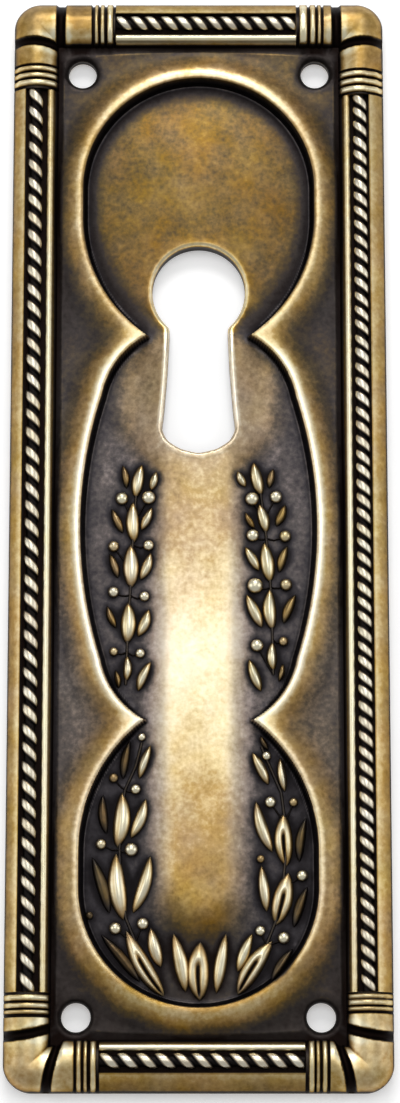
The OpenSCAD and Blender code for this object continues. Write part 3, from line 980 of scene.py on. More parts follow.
    def tone(self, p: Array) -> Array:
        """How grey the patina is, from 0 for brass brown to 1 for slate.

        Args:
            p: Plan points.

        Returns:
            One value a point.
        """
        x, y = p[:, 0], p[:, 1]
        d, ax = self.lobes.distance(p), np.abs(x)
        reach = 2.8 * smoothstep(4.0, 10.0, y)
        side = smoothstep(1.4 + reach, 5.0 + 1.4 * reach, ax) * smoothstep(19.0, 14.0, y)
        ridge = 0.08 + 0.14 * smoothstep(-20.0, -14.0, y) * smoothstep(17.0, 4.0, y)
        ridge = ridge + 0.24 * smoothstep(4.0, 9.0, y)
        inside = np.maximum(ridge * smoothstep(-36.0, -26.0, y), 0.85 * side)
        inside = np.where(y > 18.0, 0.55 * smoothstep(1.4, 0.4, -d), inside)
        inside = np.maximum(inside, 0.9 * bell(d + 0.4, 0.25))
        mid = bell(y + 10.0, 22.0)
        outside = 0.12 + (0.5 + 0.15 * (x < 0)) * mid * smoothstep(1.0, 3.0, d)
        outside = outside + 0.2 * mid * smoothstep(0.8, 0.3, d)
        outside = outside * smoothstep(-42.0, -32.0, y) * (1.0 - 0.7 * bell(self.cusp(p), 4.0))
        return np.clip(np.where(d < 0.0, inside, outside), 0.0, 1.0)

    def _border_rub(self, p: Array, w: Array) -> Array:
        """How bright the border is: patina and wear, with painted highlights on the top bar's inner strip and
        beside the grooves.

        Args:
            p: Plan points.
            w: Their distances inside the plate's outline.

        Returns:
            One value a point.
        """
        level, low = by_level_edge(p), p[:, 1] < 0
        bottom, roped = level & low, self._roped(p)
        run = np.where(level, p[:, 0], p[:, 1])
        plain = PLAIN_ACROSS.at(w) + np.where(low, 0.07, -0.05)
        outer = OUTER_ACROSS.at(w) * np.where(bottom, 0.41, np.where(level, 0.45, 0.48))
        # Painted highlight on the inner strip of the top bar, which faces the plate's foot.
        inner, top_bar_highlight = INNER_ACROSS.at(w), 0.86 * smoothstep(3.9, 3.74, w) * (w > 3.3)
        inner = np.where(level & ~bottom, np.maximum(inner, top_bar_highlight), inner)
        inner = inner * np.where(level, np.where(bottom, 0.92, 1.0), INNER_UP.at(run))
        value = np.where(roped & (w < 1.03), outer, plain)
        value = np.where(roped & (w > INNER_BEAD[0]), inner, value)
        # The channel under the rope is painted near black: patina and painted shade.
        value = np.where(roped & (w > 1.03) & (w < INNER_BEAD[0]), 0.06, value)
        rise = self._ring_rise(p)
        value = np.where(rise > 0.0, 0.26 + 2.1 * rise + 0.12 * smoothstep(1.5, 3.5, w), value)
        value = np.where(rise < 0.0, 0.1, value) * np.where(roped, 1.0, smoothstep(3.9, 3.74, w))
        gap = self.groove_gap(p)
        value = value * smoothstep(0.32, 0.54, gap)
        # Pale bands beside each corner groove: rubbed edges and painted highlight.
        edge = bell(gap - 0.72, 0.26) * smoothstep(1.8, 3.4, w)
        return np.clip(value + 0.24 * edge, 0.0, 1.0)


class ReliefMap:
    """Cavities and crests of the face, from its heights on an even grid."""

    STEP = 0.12

    def __init__(self, relief: Relief) -> None:
        """Measures the face and lays the laurel on it.

        Args:
            relief: Where the heights and patches come from.
        """
        self.relief = relief
        self.xs = np.arange(-SIZE.half_w - 1.2, SIZE.half_w + 1.3, self.STEP)
        self.ys = np.arange(-SIZE.half_h - 1.2, SIZE.half_h + 1.3, self.STEP)
        p = grid_points(self.xs, self.ys)
        z = np.where(relief.inset(p) > 0.0, relief.height(p), 1.4).reshape(len(self.ys), len(self.xs))
        self.cover = np.zeros_like(z)
        for leaf in SPRIG_LEAVES + WREATH_LEAVES:
            self._stamp(leaf.tip, leaf.base, 0.64 * leaf.width, z)
        for b in SPRIG_BERRIES + WREATH_BERRIES:
            self._stamp((b.x, b.y), (b.x, b.y), 1.15 * b.radius, z)
        self.fine = z - self._blur(z, 0.4)
        self.broad = z - self._blur(z, 1.3)
        self.soft = self._blur(z, 0.45)
        self.leaf_patina_and_shade = self._blur(self.cover, 0.3)

    def _stamp(self, tip: Sequence[float], base: Sequence[float], half: float, z: Array) -> None:
        """Raises the heights and the cover under one leaf or berry.

        Args:
            tip: Plan place of its point.
            base: Plan place of its foot, the same as the point for a berry.
            half: Half width.
            z: Heights of the grid, changed in place.
        """
        lo_x, hi_x = min(tip[0], base[0]) - half - 0.2, max(tip[0], base[0]) + half + 0.2
        lo_y, hi_y = min(tip[1], base[1]) - half - 0.2, max(tip[1], base[1]) + half + 0.2
        ix = np.nonzero((self.xs >= lo_x) & (self.xs <= hi_x))[0]
        iy = np.nonzero((self.ys >= lo_y) & (self.ys <= hi_y))[0]
        gx, gy = np.meshgrid(self.xs[ix], self.ys[iy])
        d = np.array(tip) - np.array(base)
        length = float(np.hypot(*d))
        if length < 1e-6:
            inside = 1.0 - np.hypot(gx - tip[0], gy - tip[1]) / half
        else:
            d = d / length
            t = ((gx - base[0]) * d[0] + (gy - base[1]) * d[1]) / length
            v = np.abs((gy - base[1]) * d[0] - (gx - base[0]) * d[1])
            inside = 1.0 - v / np.maximum(half * np.sin(np.pi * np.clip(t, 0.0, 1.0)) ** 0.7, 1e-3)
        rise = np.clip(inside, 0.0, 1.0) ** 0.5
        block = np.ix_(iy, ix)
        self.cover[block] = np.maximum(self.cover[block], (rise > 0).astype(float))
        z[block] = z[block] + 0.5 * rise

    def _blur(self, z: Array, sigma: float) -> Array:
        """A grid smoothed by a bell curve.

        Args:
            z: The grid.
            sigma: Width of the curve, in millimetres.

        Returns:
            The smoothed grid.
        """
        reach = int(3.0 * sigma / self.STEP) + 1
        k = np.exp(-0.5 * (np.arange(-reach, reach + 1) * self.STEP / sigma) ** 2)
        k /= k.sum()
        pad = np.pad(z, reach, mode="edge")
        rows = sum(k[i] * pad[i : i + z.shape[0], :] for i in range(len(k)))
        return sum(k[i] * rows[:, i : i + z.shape[1]] for i in range(len(k)))

    def at(self, grid: Array, p: Array) -> Array:
        """A grid's values at plan points.

        Args:
            grid: One of this map's grids.
            p: Plan points.

        Returns:
            One value a point.
        """
        fx = np.clip((p[:, 0] - self.xs[0]) / self.STEP, 0, len(self.xs) - 1.001)
        fy = np.clip((p[:, 1] - self.ys[0]) / self.STEP, 0, len(self.ys) - 1.001)
        ix, iy = fx.astype(int), fy.astype(int)
        tx, ty = fx - ix, fy - iy
        top = grid[iy, ix] * (1 - tx) + grid[iy, ix + 1] * tx
        low = grid[iy + 1, ix] * (1 - tx) + grid[iy + 1, ix + 1] * tx
        return top * (1 - ty) + low * ty

    def worn_and_shaded(self, p: Array) -> Array:
        """Value of the face with its raised places brightened as wear and painted highlight and its hollows
        blackened as patina and painted shade.

        Args:
            p: Plan points.

        Returns:
            One value a point.
        """
        fine = np.clip(self.at(self.fine, p) / 0.2, -1.0, 1.0)
        broad = np.clip(self.at(self.broad, p) / 0.4, -1.0, 0.5)
        w = self.relief.inset(p)
        inside = (w > SIZE.border_w) & (self.relief.lobes.distance(p) < 0.0)
        # Hollows darkened as patina and painted shade; raised places brightened as wear and painted highlight.
        hollow = np.where(w < SIZE.border_w, 0.45, np.where(inside, 0.08, 0.13))
        value = self.relief.wear_and_painted_light(p) + np.where(fine > 0.0, 0.14, hollow) * fine + 0.08 * broad
        # Black patina and painted shade on the floor under and round each leaf and berry.
        leaf_patina_and_shade = np.clip(self.at(self.leaf_patina_and_shade, p) * 2.2, 0.0, 1.0)
        return np.clip(value * (1.0 - 0.9 * leaf_patina_and_shade), 0.0, 1.0)


# Finishes


@dataclass(frozen=True)
class Finish:
    """One antique brass finish.

    Attributes:
        name: Material name.
        lift: Added to the value of wear and painted light.
        grain: Strength of the mottling.
        roughness: Roughness where it is rubbed.
        bump: Depth of the fine pitting, in millimetres.
        saturation: Strength of the brass colour.
    """

    name: str
    lift: float = 0.0
    grain: float = 1.0
    roughness: float = 0.34
    bump: float = 0.02
    saturation: float = 1.0


PATINA_STOPS = (
    (0.0, (0.01, 0.006, 0.005)),
    (0.12, (0.022, 0.017, 0.016)),
    (0.24, (0.046, 0.038, 0.035)),
    (0.37, (0.105, 0.071, 0.034)),
    (0.5, (0.24, 0.138, 0.042)),
    (0.66, (0.44, 0.275, 0.095)),
    (0.82, (0.7, 0.545, 0.29)),
    (1.0, (0.88, 0.8, 0.57)),
)


class NodeCanvas:
    """Small helper that adds nodes and links to one tree."""

    def __init__(self, tree: bpy.types.NodeTree) -> None:
        """Empties the tree.

        Args:
            tree: The tree to build on.
        """
        self.tree = tree
        tree.nodes.clear()

    def add(self, kind: str, inputs: dict | None = None, **settings: object) -> bpy.types.Node:
        """Adds a node.

        Args:
            kind: Its type name.
            inputs: Values or output sockets for its inputs, by name or index.
            **settings: Its other properties.

        Returns:
            The node.
        """
        node = self.tree.nodes.new(kind)
        for key, value in settings.items():
            setattr(node, key, value)
        for key, value in (inputs or {}).items():
            if isinstance(value, bpy.types.NodeSocket):
                self.tree.links.new(value, node.inputs[key])
            else:
                node.inputs[key].default_value = value
        return node

    def math(self, operation: str, a: object, b: object = 0.0, clamp: bool = False) -> bpy.types.NodeSocket:
        """Adds a math node and gives its output.

        Args:
            operation: The operation's name.
            a: First value or socket.
            b: Second value or socket.
            clamp: Whether to clamp to 0 and 1.

        Returns:
            The output socket.
        """
        node = self.add("ShaderNodeMath", {0: a, 1: b}, operation=operation, use_clamp=clamp)
        return node.outputs[0]


def patina_material(finish: Finish) -> bpy.types.Material:
    """Antique brass whose colour follows the mesh's own values of patina, wear and painted light.

    Args:
        finish: The finish.

    Returns:
        The material.
    """
    mat = bpy.data.materials.new(finish.name)
    mat.use_nodes = True
    c = NodeCanvas(mat.node_tree)
    where = c.add("ShaderNodeTexCoord").outputs["Object"]
    wear_and_painted_light = c.add("ShaderNodeAttribute", attribute_name="wear_and_painted_light", attribute_type="GEOMETRY").outputs["Fac"]
    mottle = c.add("ShaderNodeTexNoise", {"Vector": where, "Scale": 2100.0, "Detail": 4.0, "Roughness": 0.62})
    cloud = c.add("ShaderNodeTexNoise", {"Vector": where, "Scale": 330.0, "Detail": 3.0, "Roughness": 0.55})
    speck = c.add("ShaderNodeTexVoronoi", {"Vector": where, "Scale": 2300.0, "Randomness": 1.0})
    tone = c.add("ShaderNodeAttribute", attribute_name="tone", attribute_type="GEOMETRY").outputs["Fac"]
    lively = c.math("MULTIPLY", c.math("ADD", 1.0, c.math("MULTIPLY", tone, 0.5)), 0.33 * finish.grain)
    m = c.math("MULTIPLY", c.math("SUBTRACT", mottle.outputs[0], 0.5), lively)
    k = c.math("MULTIPLY", c.math("SUBTRACT", cloud.outputs[0], 0.5), 0.26 * finish.grain)
    s = c.math("MULTIPLY", c.math("SUBTRACT", 0.3, speck.outputs["Distance"]), -0.06 * finish.grain)
    spread = c.math("ADD", c.math("ADD", m, k), s)
    ends = c.math("MULTIPLY", wear_and_painted_light, c.math("SUBTRACT", 1.18, wear_and_painted_light))
    spread = c.math("MULTIPLY", spread, c.math("ADD", c.math("MULTIPLY", ends, 2.6), 0.12))
    value = c.math("ADD", c.math("ADD", wear_and_painted_light, finish.lift), spread, clamp=True)
    ramp = c.add("ShaderNodeValToRGB", {"Fac": value})
    stops = ramp.color_ramp.elements
    stops[0].position, stops[1].position = PATINA_STOPS[0][0], PATINA_STOPS[-1][0]
    for place, _ in PATINA_STOPS[1:-1]:
        stops.new(place)
    for stop, (_, rgb) in zip(stops, PATINA_STOPS):
        stop.color = (*rgb, 1.0)
    warm = c.add("ShaderNodeTexNoise", {"Vector": where, "Scale": 210.0, "Detail": 2.0})
    hue = c.math("ADD", c.math("MULTIPLY", c.math("SUBTRACT", warm.outputs[0], 0.5), 0.03), 0.505)
    blotch = c.add("ShaderNodeTexNoise", {"Vector": where, "Scale": 460.0, "Detail": 2.0})
    strong = c.math("MULTIPLY", c.math("SUBTRACT", blotch.outputs[0], 0.5), 0.45)
    strong = c.math("ADD", strong, finish.saturation)
    strong = c.math("MULTIPLY", strong, c.math("SUBTRACT", 1.0, c.math("MULTIPLY", tone, 0.8)))
    tint = c.add("ShaderNodeHueSaturation", {"Hue": hue, "Saturation": strong, "Color": ramp.outputs["Color"]})
    slate = c.add("ShaderNodeMix", {0: tone, 6: tint.outputs["Color"], 7: (0.97, 0.92, 1.05, 1.0)},
                  data_type="RGBA", blend_type="MULTIPLY")
    rough = c.math("SUBTRACT", finish.roughness + 0.2, c.math("MULTIPLY", value, 0.2))
    rough = c.math("ADD", rough, c.math("MULTIPLY", m, 0.35), clamp=True)
    deep = c.math("ADD", mottle.outputs[0], c.math("MULTIPLY", speck.outputs["Distance"], 0.4))
    bump = c.add("ShaderNodeBump", {"Height": deep, "Strength": 0.35, "Distance": finish.bump * MM})
    body = c.add(
        "ShaderNodeBsdfPrincipled",
        {"Base Color": slate.outputs[2], "Metallic": 1.0, "Roughness": rough, "Normal": bump.outputs["Normal"]},
    )
    c.add("ShaderNodeOutputMaterial", {"Surface": body.outputs[0]})
    return mat


class FinishBook:
    """The finishes in use, made once each."""

    SHEET = Finish("antique_brass_sheet")
    BORDER = Finish("antique_brass_border", grain=0.9, roughness=0.38, saturation=0.98)
    ROPE = Finish("antique_brass_rope", grain=0.5, roughness=0.34, saturation=0.58)
    LAUREL = Finish("antique_brass_laurel", grain=0.55, roughness=0.32, saturation=0.88)
    BACK = Finish("antique_brass_back", grain=1.3, roughness=0.5, bump=0.03)

    def __init__(self) -> None:
        """Starts with no finish made."""
        self._made: dict[str, bpy.types.Material] = {}

    def get(self, finish: Finish) -> bpy.types.Material:
        """The material of a finish.

        Args:
            finish: The finish.

        Returns:
            Its material.
        """
        if finish.name not in self._made:
            self._made[finish.name] = patina_material(finish)
        return self._made[finish.name]


# Meshes


@dataclass
class Sculpt:
    """Vertices in millimetres, faces, values of wear and painted light, and tones of one piece under way."""

    verts: list[Array] = field(default_factory=list)
    faces: list[Array] = field(default_factory=list)
    wear_and_painted_light: list[Array] = field(default_factory=list)
    tone: list[Array] = field(default_factory=list)
    count: int = 0

    def add(self, verts: Array, faces: Array, wear_and_painted_light: Array, tone: Array | None = None) -> None:
        """Adds one closed or open patch.

        Args:
            verts: Points with three columns.
            faces: Triangles or quads as rows of point numbers within this patch.
            wear_and_painted_light: One value a point.
            tone: One value a point, or none for plain brass brown.
        """
        self.verts.append(verts)
        self.faces.append(faces + self.count)
        self.wear_and_painted_light.append(wear_and_painted_light)
        self.tone.append(np.zeros(len(verts)) if tone is None else tone)
        self.count += len(verts)

    def triangles(self) -> int:
        """Number of triangles so far."""
        return sum(len(f) * (f.shape[1] - 2) for f in self.faces)

    def build(self, name: str, material: bpy.types.Material, sharp: float = 40.0) -> bpy.types.Object:
        """Makes the object and hands it to the frame.

        Args:
            name: Piece name.
            material: Its material.
            sharp: Angle above which an edge stays crisp, in degrees.

        Returns:
            The object.
        """
        verts = np.vstack(self.verts) * MM
        loops = np.concatenate([f.ravel() for f in self.faces]).astype(np.int32)
        sizes = np.concatenate([np.full(len(f), f.shape[1]) for f in self.faces])
        starts = np.concatenate([[0], np.cumsum(sizes)[:-1]]).astype(np.int32)
        mesh = bpy.data.meshes.new(name)
        mesh.vertices.add(len(verts))
        mesh.vertices.foreach_set("co", verts.ravel())
        mesh.loops.add(len(loops))
        mesh.loops.foreach_set("vertex_index", loops)
        mesh.polygons.add(len(sizes))
        mesh.polygons.foreach_set("loop_start", starts)
        mesh.update(calc_edges=True)
        mesh.validate()
        for layer_name, values in (("wear_and_painted_light", self.wear_and_painted_light), ("tone", self.tone)):
            layer = mesh.attributes.new(layer_name, "FLOAT", "POINT")
            layer.data.foreach_set("value", np.concatenate(values).astype(np.float32))
        mesh.polygons.foreach_set("use_smooth", np.ones(len(mesh.polygons), bool))
        mesh.set_sharp_from_angle(angle=math.radians(sharp))
        mesh.materials.append(material)
        obj = bpy.data.objects.new(name, mesh)
        bpy.context.scene.collection.objects.link(obj)
        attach(obj, "root")
        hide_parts("escutcheon_plate")
        LOG.info("%s: %d triangles", name, self.triangles())
        return obj


def strip_faces(rows: int, cols: int, closed: bool = False, flip: bool = False) -> Array:
    """Quads of a grid of points kept row by row.

    Args:
        rows: Number of rows.
        cols: Number of points in each.
        closed: Whether each row joins up with its own start.
        flip: Whether the quads face the other way.

    Returns:
        Rows of four point numbers.
    """
    i, j = np.meshgrid(np.arange(rows - 1), np.arange(cols if closed else cols - 1), indexing="ij")
    i, j = i.ravel(), j.ravel()
    k = (j + 1) % cols
    quads = np.column_stack([i * cols + j, i * cols + k, (i + 1) * cols + k, (i + 1) * cols + j])
    return quads[:, ::-1] if flip else quads


def triangulate(p: Array) -> Array:
    """Triangles over plan points.

    Args:
        p: Plan points.

    Returns:
        Rows of three point numbers, facing up.
    """
    out = delaunay_2d_cdt([Vector(q) for q in p.tolist()], [], [], 0, 1e-7)
    back = np.array([o[0] if o else -1 for o in out[3]])
    tris = back[np.array(out[2])]
    a, b, c = (p[tris[:, k]] for k in range(3))
    turn = (b[:, 0] - a[:, 0]) * (c[:, 1] - a[:, 1]) - (b[:, 1] - a[:, 1]) * (c[:, 0] - a[:, 0])
    tris[turn < 0] = tris[turn < 0][:, ::-1]
    LOG.info("triangulated %d points", len(p))
    return tris[np.abs(turn) > 1e-7]


@dataclass
class Panel:
    """The field, the lip and the drawn floor in one sheet, with its holes and their walls."""

    relief: Relief
    worn_and_shaded: ReliefMap
    book: FinishBook

    LOBE_RINGS = (-1.25, -0.95, -0.75, -0.62, -0.53, -0.43, -0.33, -0.22, -WALL_W, 0.0, 0.06, 0.16, 0.3, 0.45,
                  0.6, 0.78, 0.96, 1.16, 1.42, 1.75, 2.15, 2.6)
    KEY_RINGS = (0.0, 0.05, 0.13, 0.25, 0.4, 0.6, 0.8)
    PIN_RINGS = (0.0, 0.06, 0.18, 0.4, 0.65)
    LEDGE_LINES = (0.26, 0.36, 0.46, 0.56, 0.68)
    OVERLAP = 0.06
    HOLE_LOW_Z = 0.35

    def _rings(self) -> list[Array]:
        """Rings of points along the lobes, the keyhole and each pin hole.

        Returns:
            The rings.
        """
        lobes = [self.relief.lobes.ring(g) for g in self.LOBE_RINGS]
        lobes = [r[np.abs(r[:, 0]) < SIZE.inner_x - 0.05] for r in lobes]
        keyed = [self.relief.keyhole.ring(g) for g in self.KEY_RINGS]
        return lobes + keyed + [ring for hole in zip(*map(pin_rings, self.PIN_RINGS)) for ring in hole]

    def _border_lines(self) -> list[Array]:
        """Lines of points under the border's foot and along the ledge beside it.

        Returns:
            The lines, broken where a hole or a lobe comes near.
        """
        half_x, half_y = SIZE.inner_x + self.OVERLAP, SIZE.inner_y + self.OVERLAP
        xs, ys = np.linspace(-half_x, half_x, 90), np.linspace(-half_y, half_y, 300)
        lines = [np.column_stack([xs, np.full(len(xs), s * half_y)]) for s in (-1, 1)]
        lines += [np.column_stack([np.full(len(ys) - 2, s * half_x), ys[1:-1]]) for s in (-1, 1)]
        for inward in self.LEDGE_LINES:
            high = SIZE.inner_y - inward
            low = -(SIZE.inner_y - Bar.BOTTOM.value.seat[2] - inward)
            lines += [
                np.column_stack([xs, high - FOOT_BOW * xs**2])[4:-4],
                np.column_stack([xs, low + FOOT_BOW * xs**2])[4:-4],
            ]
            side = ys[(ys > low + 0.9) & (ys < high - 0.9)]
            wide = np.full(len(side), SIZE.inner_x - inward)
            lines += [np.column_stack([s * wide, side]) for s in (-1, 1)]
        return [q[self._clear(q)] for q in lines]

    def _points(self) -> Array:
        """Every plan point of the sheet: rings, border lines and a shaken grid between them.

        Returns:
            The points.
        """
        rng, spread = np.random.default_rng(11), []
        for step, chosen in ((0.4, self._open), (0.2, self._near_laurel)):
            q = grid_points(np.arange(-12.4, 12.4, step), np.arange(-44.2, 44.2, step))
            q = q + rng.uniform(-0.22, 0.22, q.shape) * step
            spread.append(q[chosen(q)])
        return np.vstack([*self._rings(), *self._border_lines(), *spread])

    def _clear(self, q: Array) -> Array:
        """Whether points keep away from the pin holes and the lip."""
        return (pin_gap(q) > 0.72) & (self.relief.lobes.distance(q) > 2.0)

    def _free(self, q: Array) -> Array:
        """Whether points lie inside the border and away from every ring.

        Args:
            q: Plan points.

        Returns:
            One truth value a point.
        """
        d = self.relief.lobes.distance(q)
        inside, keyed = self.relief.foot(q) > 0.85, self.relief.keyhole.distance(q)
        return inside & ((d > 2.8) | (d < -1.4)) & (pin_gap(q) > 0.8) & (keyed > 0.95)

    def _laurel_zone(self, q: Array) -> Array:
        """Whether points lie in the stretch of the floor that holds the laurel.

        Args:
            q: Plan points.

        Returns:
            One truth value a point.
        """
        ax, y = np.abs(q[:, 0]), q[:, 1]
        sprig = (ax > 2.9) & (ax < 9.6) & (y < 7.0)
        return (sprig & (y > -42.0)) | ((y < -33.4) & (y > -42.0))

    def _near_laurel(self, q: Array) -> Array:
        """Whether free points lie on the floor round the laurel."""
        return self._laurel_zone(q) & self._free(q) & (self.relief.lobes.distance(q) < 0.0)

    def _open(self, q: Array) -> Array:
        """Whether free points lie anywhere else."""
        inside = self.relief.lobes.distance(q) < 0.0
        return self._free(q) & ~(self._laurel_zone(q) & inside)

    def build(self) -> None:
        """Makes the front sheet with the walls of its holes."""
        p = self._points()
        tris = triangulate(p)
        mid = p[tris].mean(1)
        keep = (self.relief.keyhole.distance(mid) > -0.004) & (pin_gap(mid) > -0.002)
        sheet = Sculpt()
        sheet.add(np.column_stack([p, self.relief.panel(p)]), tris[keep], self.worn_and_shaded.worn_and_shaded(p), self.relief.tone(p))
        self._wall(sheet, self.relief.keyhole.line, 0.05)
        for ring in pin_rings():
            self._wall(sheet, ring, 0.1)
        sheet.build("pressed_panel", self.book.get(FinishBook.SHEET))

    def _wall(self, sheet: Sculpt, ring: Array, shine: float) -> None:
        """Adds the wall of a hole, from the face's edge down to the back.

        Args:
            sheet: The sheet under way.
            ring: The hole's outline.
            shine: How bright the wall is half way down; the wall is painted darker downwards as shade.
        """
        top = self.relief.panel(ring)
        levels = (0.0, 0.15, 0.5, 1.0)
        rows = [np.column_stack([ring, top + (self.HOLE_LOW_Z - top) * t]) for t in levels]
        # Painted shade: the wall darkens from its top edge down into the hole.
        wear_and_painted_light = [np.full(len(ring), s) for s in (0.4, 0.2, shine, shine * 0.5)]
        area = float(np.sum(ring[:, 0] * np.roll(ring[:, 1], -1) - ring[:, 1] * np.roll(ring[:, 0], -1)))
        faces = strip_faces(len(levels), len(ring), closed=True, flip=area > 0)
        sheet.add(np.vstack(rows), faces, np.concatenate(wear_and_painted_light))


@dataclass
class Border:
    """The moulded border with its strips, channels, ties, grooves and corner blocks."""

    relief: Relief
    worn_and_shaded: ReliefMap
    book: FinishBook
    corner_points: int = 44

    INSETS = (0.0, 0.03, 0.08, 0.16, 0.28, 0.45, 0.68, 0.88, 0.985, 1.03, 1.09, 1.25, 1.6, 2.0, 2.4, 2.7,
              2.9, 2.955, 2.98, 3.01, 3.07, 3.17, 3.3, 3.43, 3.54, 3.61, 3.66, 3.76, 3.87, 3.96, 4.04)
    # Inset and share of the edge's height, from the outer edge down, under the rim and up inside it.
    RIM = ((0.0, 1.0), (0.0, 0.86), (0.0, 0.5), (0.0, 0.12), (0.03, 0.04), (0.1, 0.0), (0.72, 0.0),
           (0.79, 0.06), (0.8, 0.5), (0.8, 0.9))
    FINE_STEP = 0.085

    def _run(self, half: float, bars: tuple[Bar, Bar]) -> Array:
        """Places along one bar between the inner corners, finer at the ties and the corners.

        Args:
            half: Half the bar's length between the inner corners.
            bars: The two bars that share these places.

        Returns:
            The places, rising.
        """
        ends = [v for b in bars for v in (b.start, b.end)]
        parts = [np.arange(-half, half, 0.3), np.array([-half, half])]
        for e in ends:
            way = 1.0 if e > 0 else -1.0
            parts.append(e + way * np.arange(-0.3, 2.6, self.FINE_STEP))
            parts.append(np.array([e - way * 0.012, e + way * 0.012]))
        near = np.arange(half - 2.0, half, self.FINE_STEP)
        s = np.unique(np.round(np.concatenate(parts + [near, -near]), 4))
        s = s[(s >= -half) & (s <= half)]
        return s[np.concatenate([[True], np.diff(s) > 0.018])]

    def ring(self, inset: float) -> Array:
        """The outline at an inset, with matching points on every inset.

        Args:
            inset: Distance inside the plate's outline.

        Returns:
            Points in order, anticlockwise from the right bar's middle.
        """
        hx, hy = SIZE.half_w - inset, SIZE.half_h - inset
        r = max(SIZE.corner_r - inset, 0.0)
        side = self._run(SIZE.inner_y, (Bar.LEFT, Bar.RIGHT))
        level = self._run(SIZE.inner_x, (Bar.TOP, Bar.BOTTOM))
        turn = np.linspace(0.0, np.pi / 2, 24)
        arc = np.column_stack([hx - r + r * np.cos(turn), hy - r + r * np.sin(turn)])
        line = np.vstack([[(hx, SIZE.inner_y)], arc, [(SIZE.inner_x, hy)]])
        length = lengths_along(line)[-1]
        at = np.linspace(0.0, length, self.corner_points * 2 + 1)[1:-1]
        corner = points_along(line, at) if length >= 1e-6 else np.repeat([[hx, hy]], len(at), axis=0)
        flip_x, flip_y = np.array([-1.0, 1.0]), np.array([1.0, -1.0])
        right = np.column_stack([np.full(len(side), hx), side])
        top = np.column_stack([level[::-1], np.full(len(level), hy)])
        left = np.column_stack([np.full(len(side), -hx), side[::-1]])
        low = np.column_stack([level, np.full(len(level), -hy)])
        return np.vstack([
            right, corner, top, (corner * flip_x)[::-1], left, corner * flip_x * flip_y, low,
            (corner * flip_y)[::-1],
        ])

    def build(self) -> None:
        """Makes the moulding and the rim that runs down to the back."""
        rows, worn_and_shaded = [], []
        for inset in self.INSETS:
            ring = self.ring(inset)
            at = ring * (1.0 - 1e-9)
            z = self.relief.border(at) if inset < BORDER_END else np.full(len(ring), SIZE.field_z - 0.25)
            rows.append(np.column_stack([self.relief.seat(ring), z]))
            worn_and_shaded.append(self.worn_and_shaded.worn_and_shaded(ring * 0.99999) if inset < 4.0 else np.zeros(len(ring)))
        n, edge_z = len(rows[0]), rows[0][:, 2]
        moulding = Sculpt()
        moulding.add(np.vstack(rows), strip_faces(len(rows), n, closed=True), np.concatenate(worn_and_shaded))
        rows, worn_and_shaded = [], []
        for inset, share in self.RIM:
            ring = self.ring(inset)
            rows.append(np.column_stack([ring, edge_z * share]))
            worn_and_shaded.append(np.full(n, 0.3 + 0.18 * (share < 0.1)) + 0.1 * ripple(ring))
        faces = strip_faces(len(self.RIM), n, closed=True, flip=True)
        moulding.add(np.vstack(rows), faces, np.concatenate(worn_and_shaded))
        moulding.build("border_moulding", self.book.get(FinishBook.BORDER), 50.0)


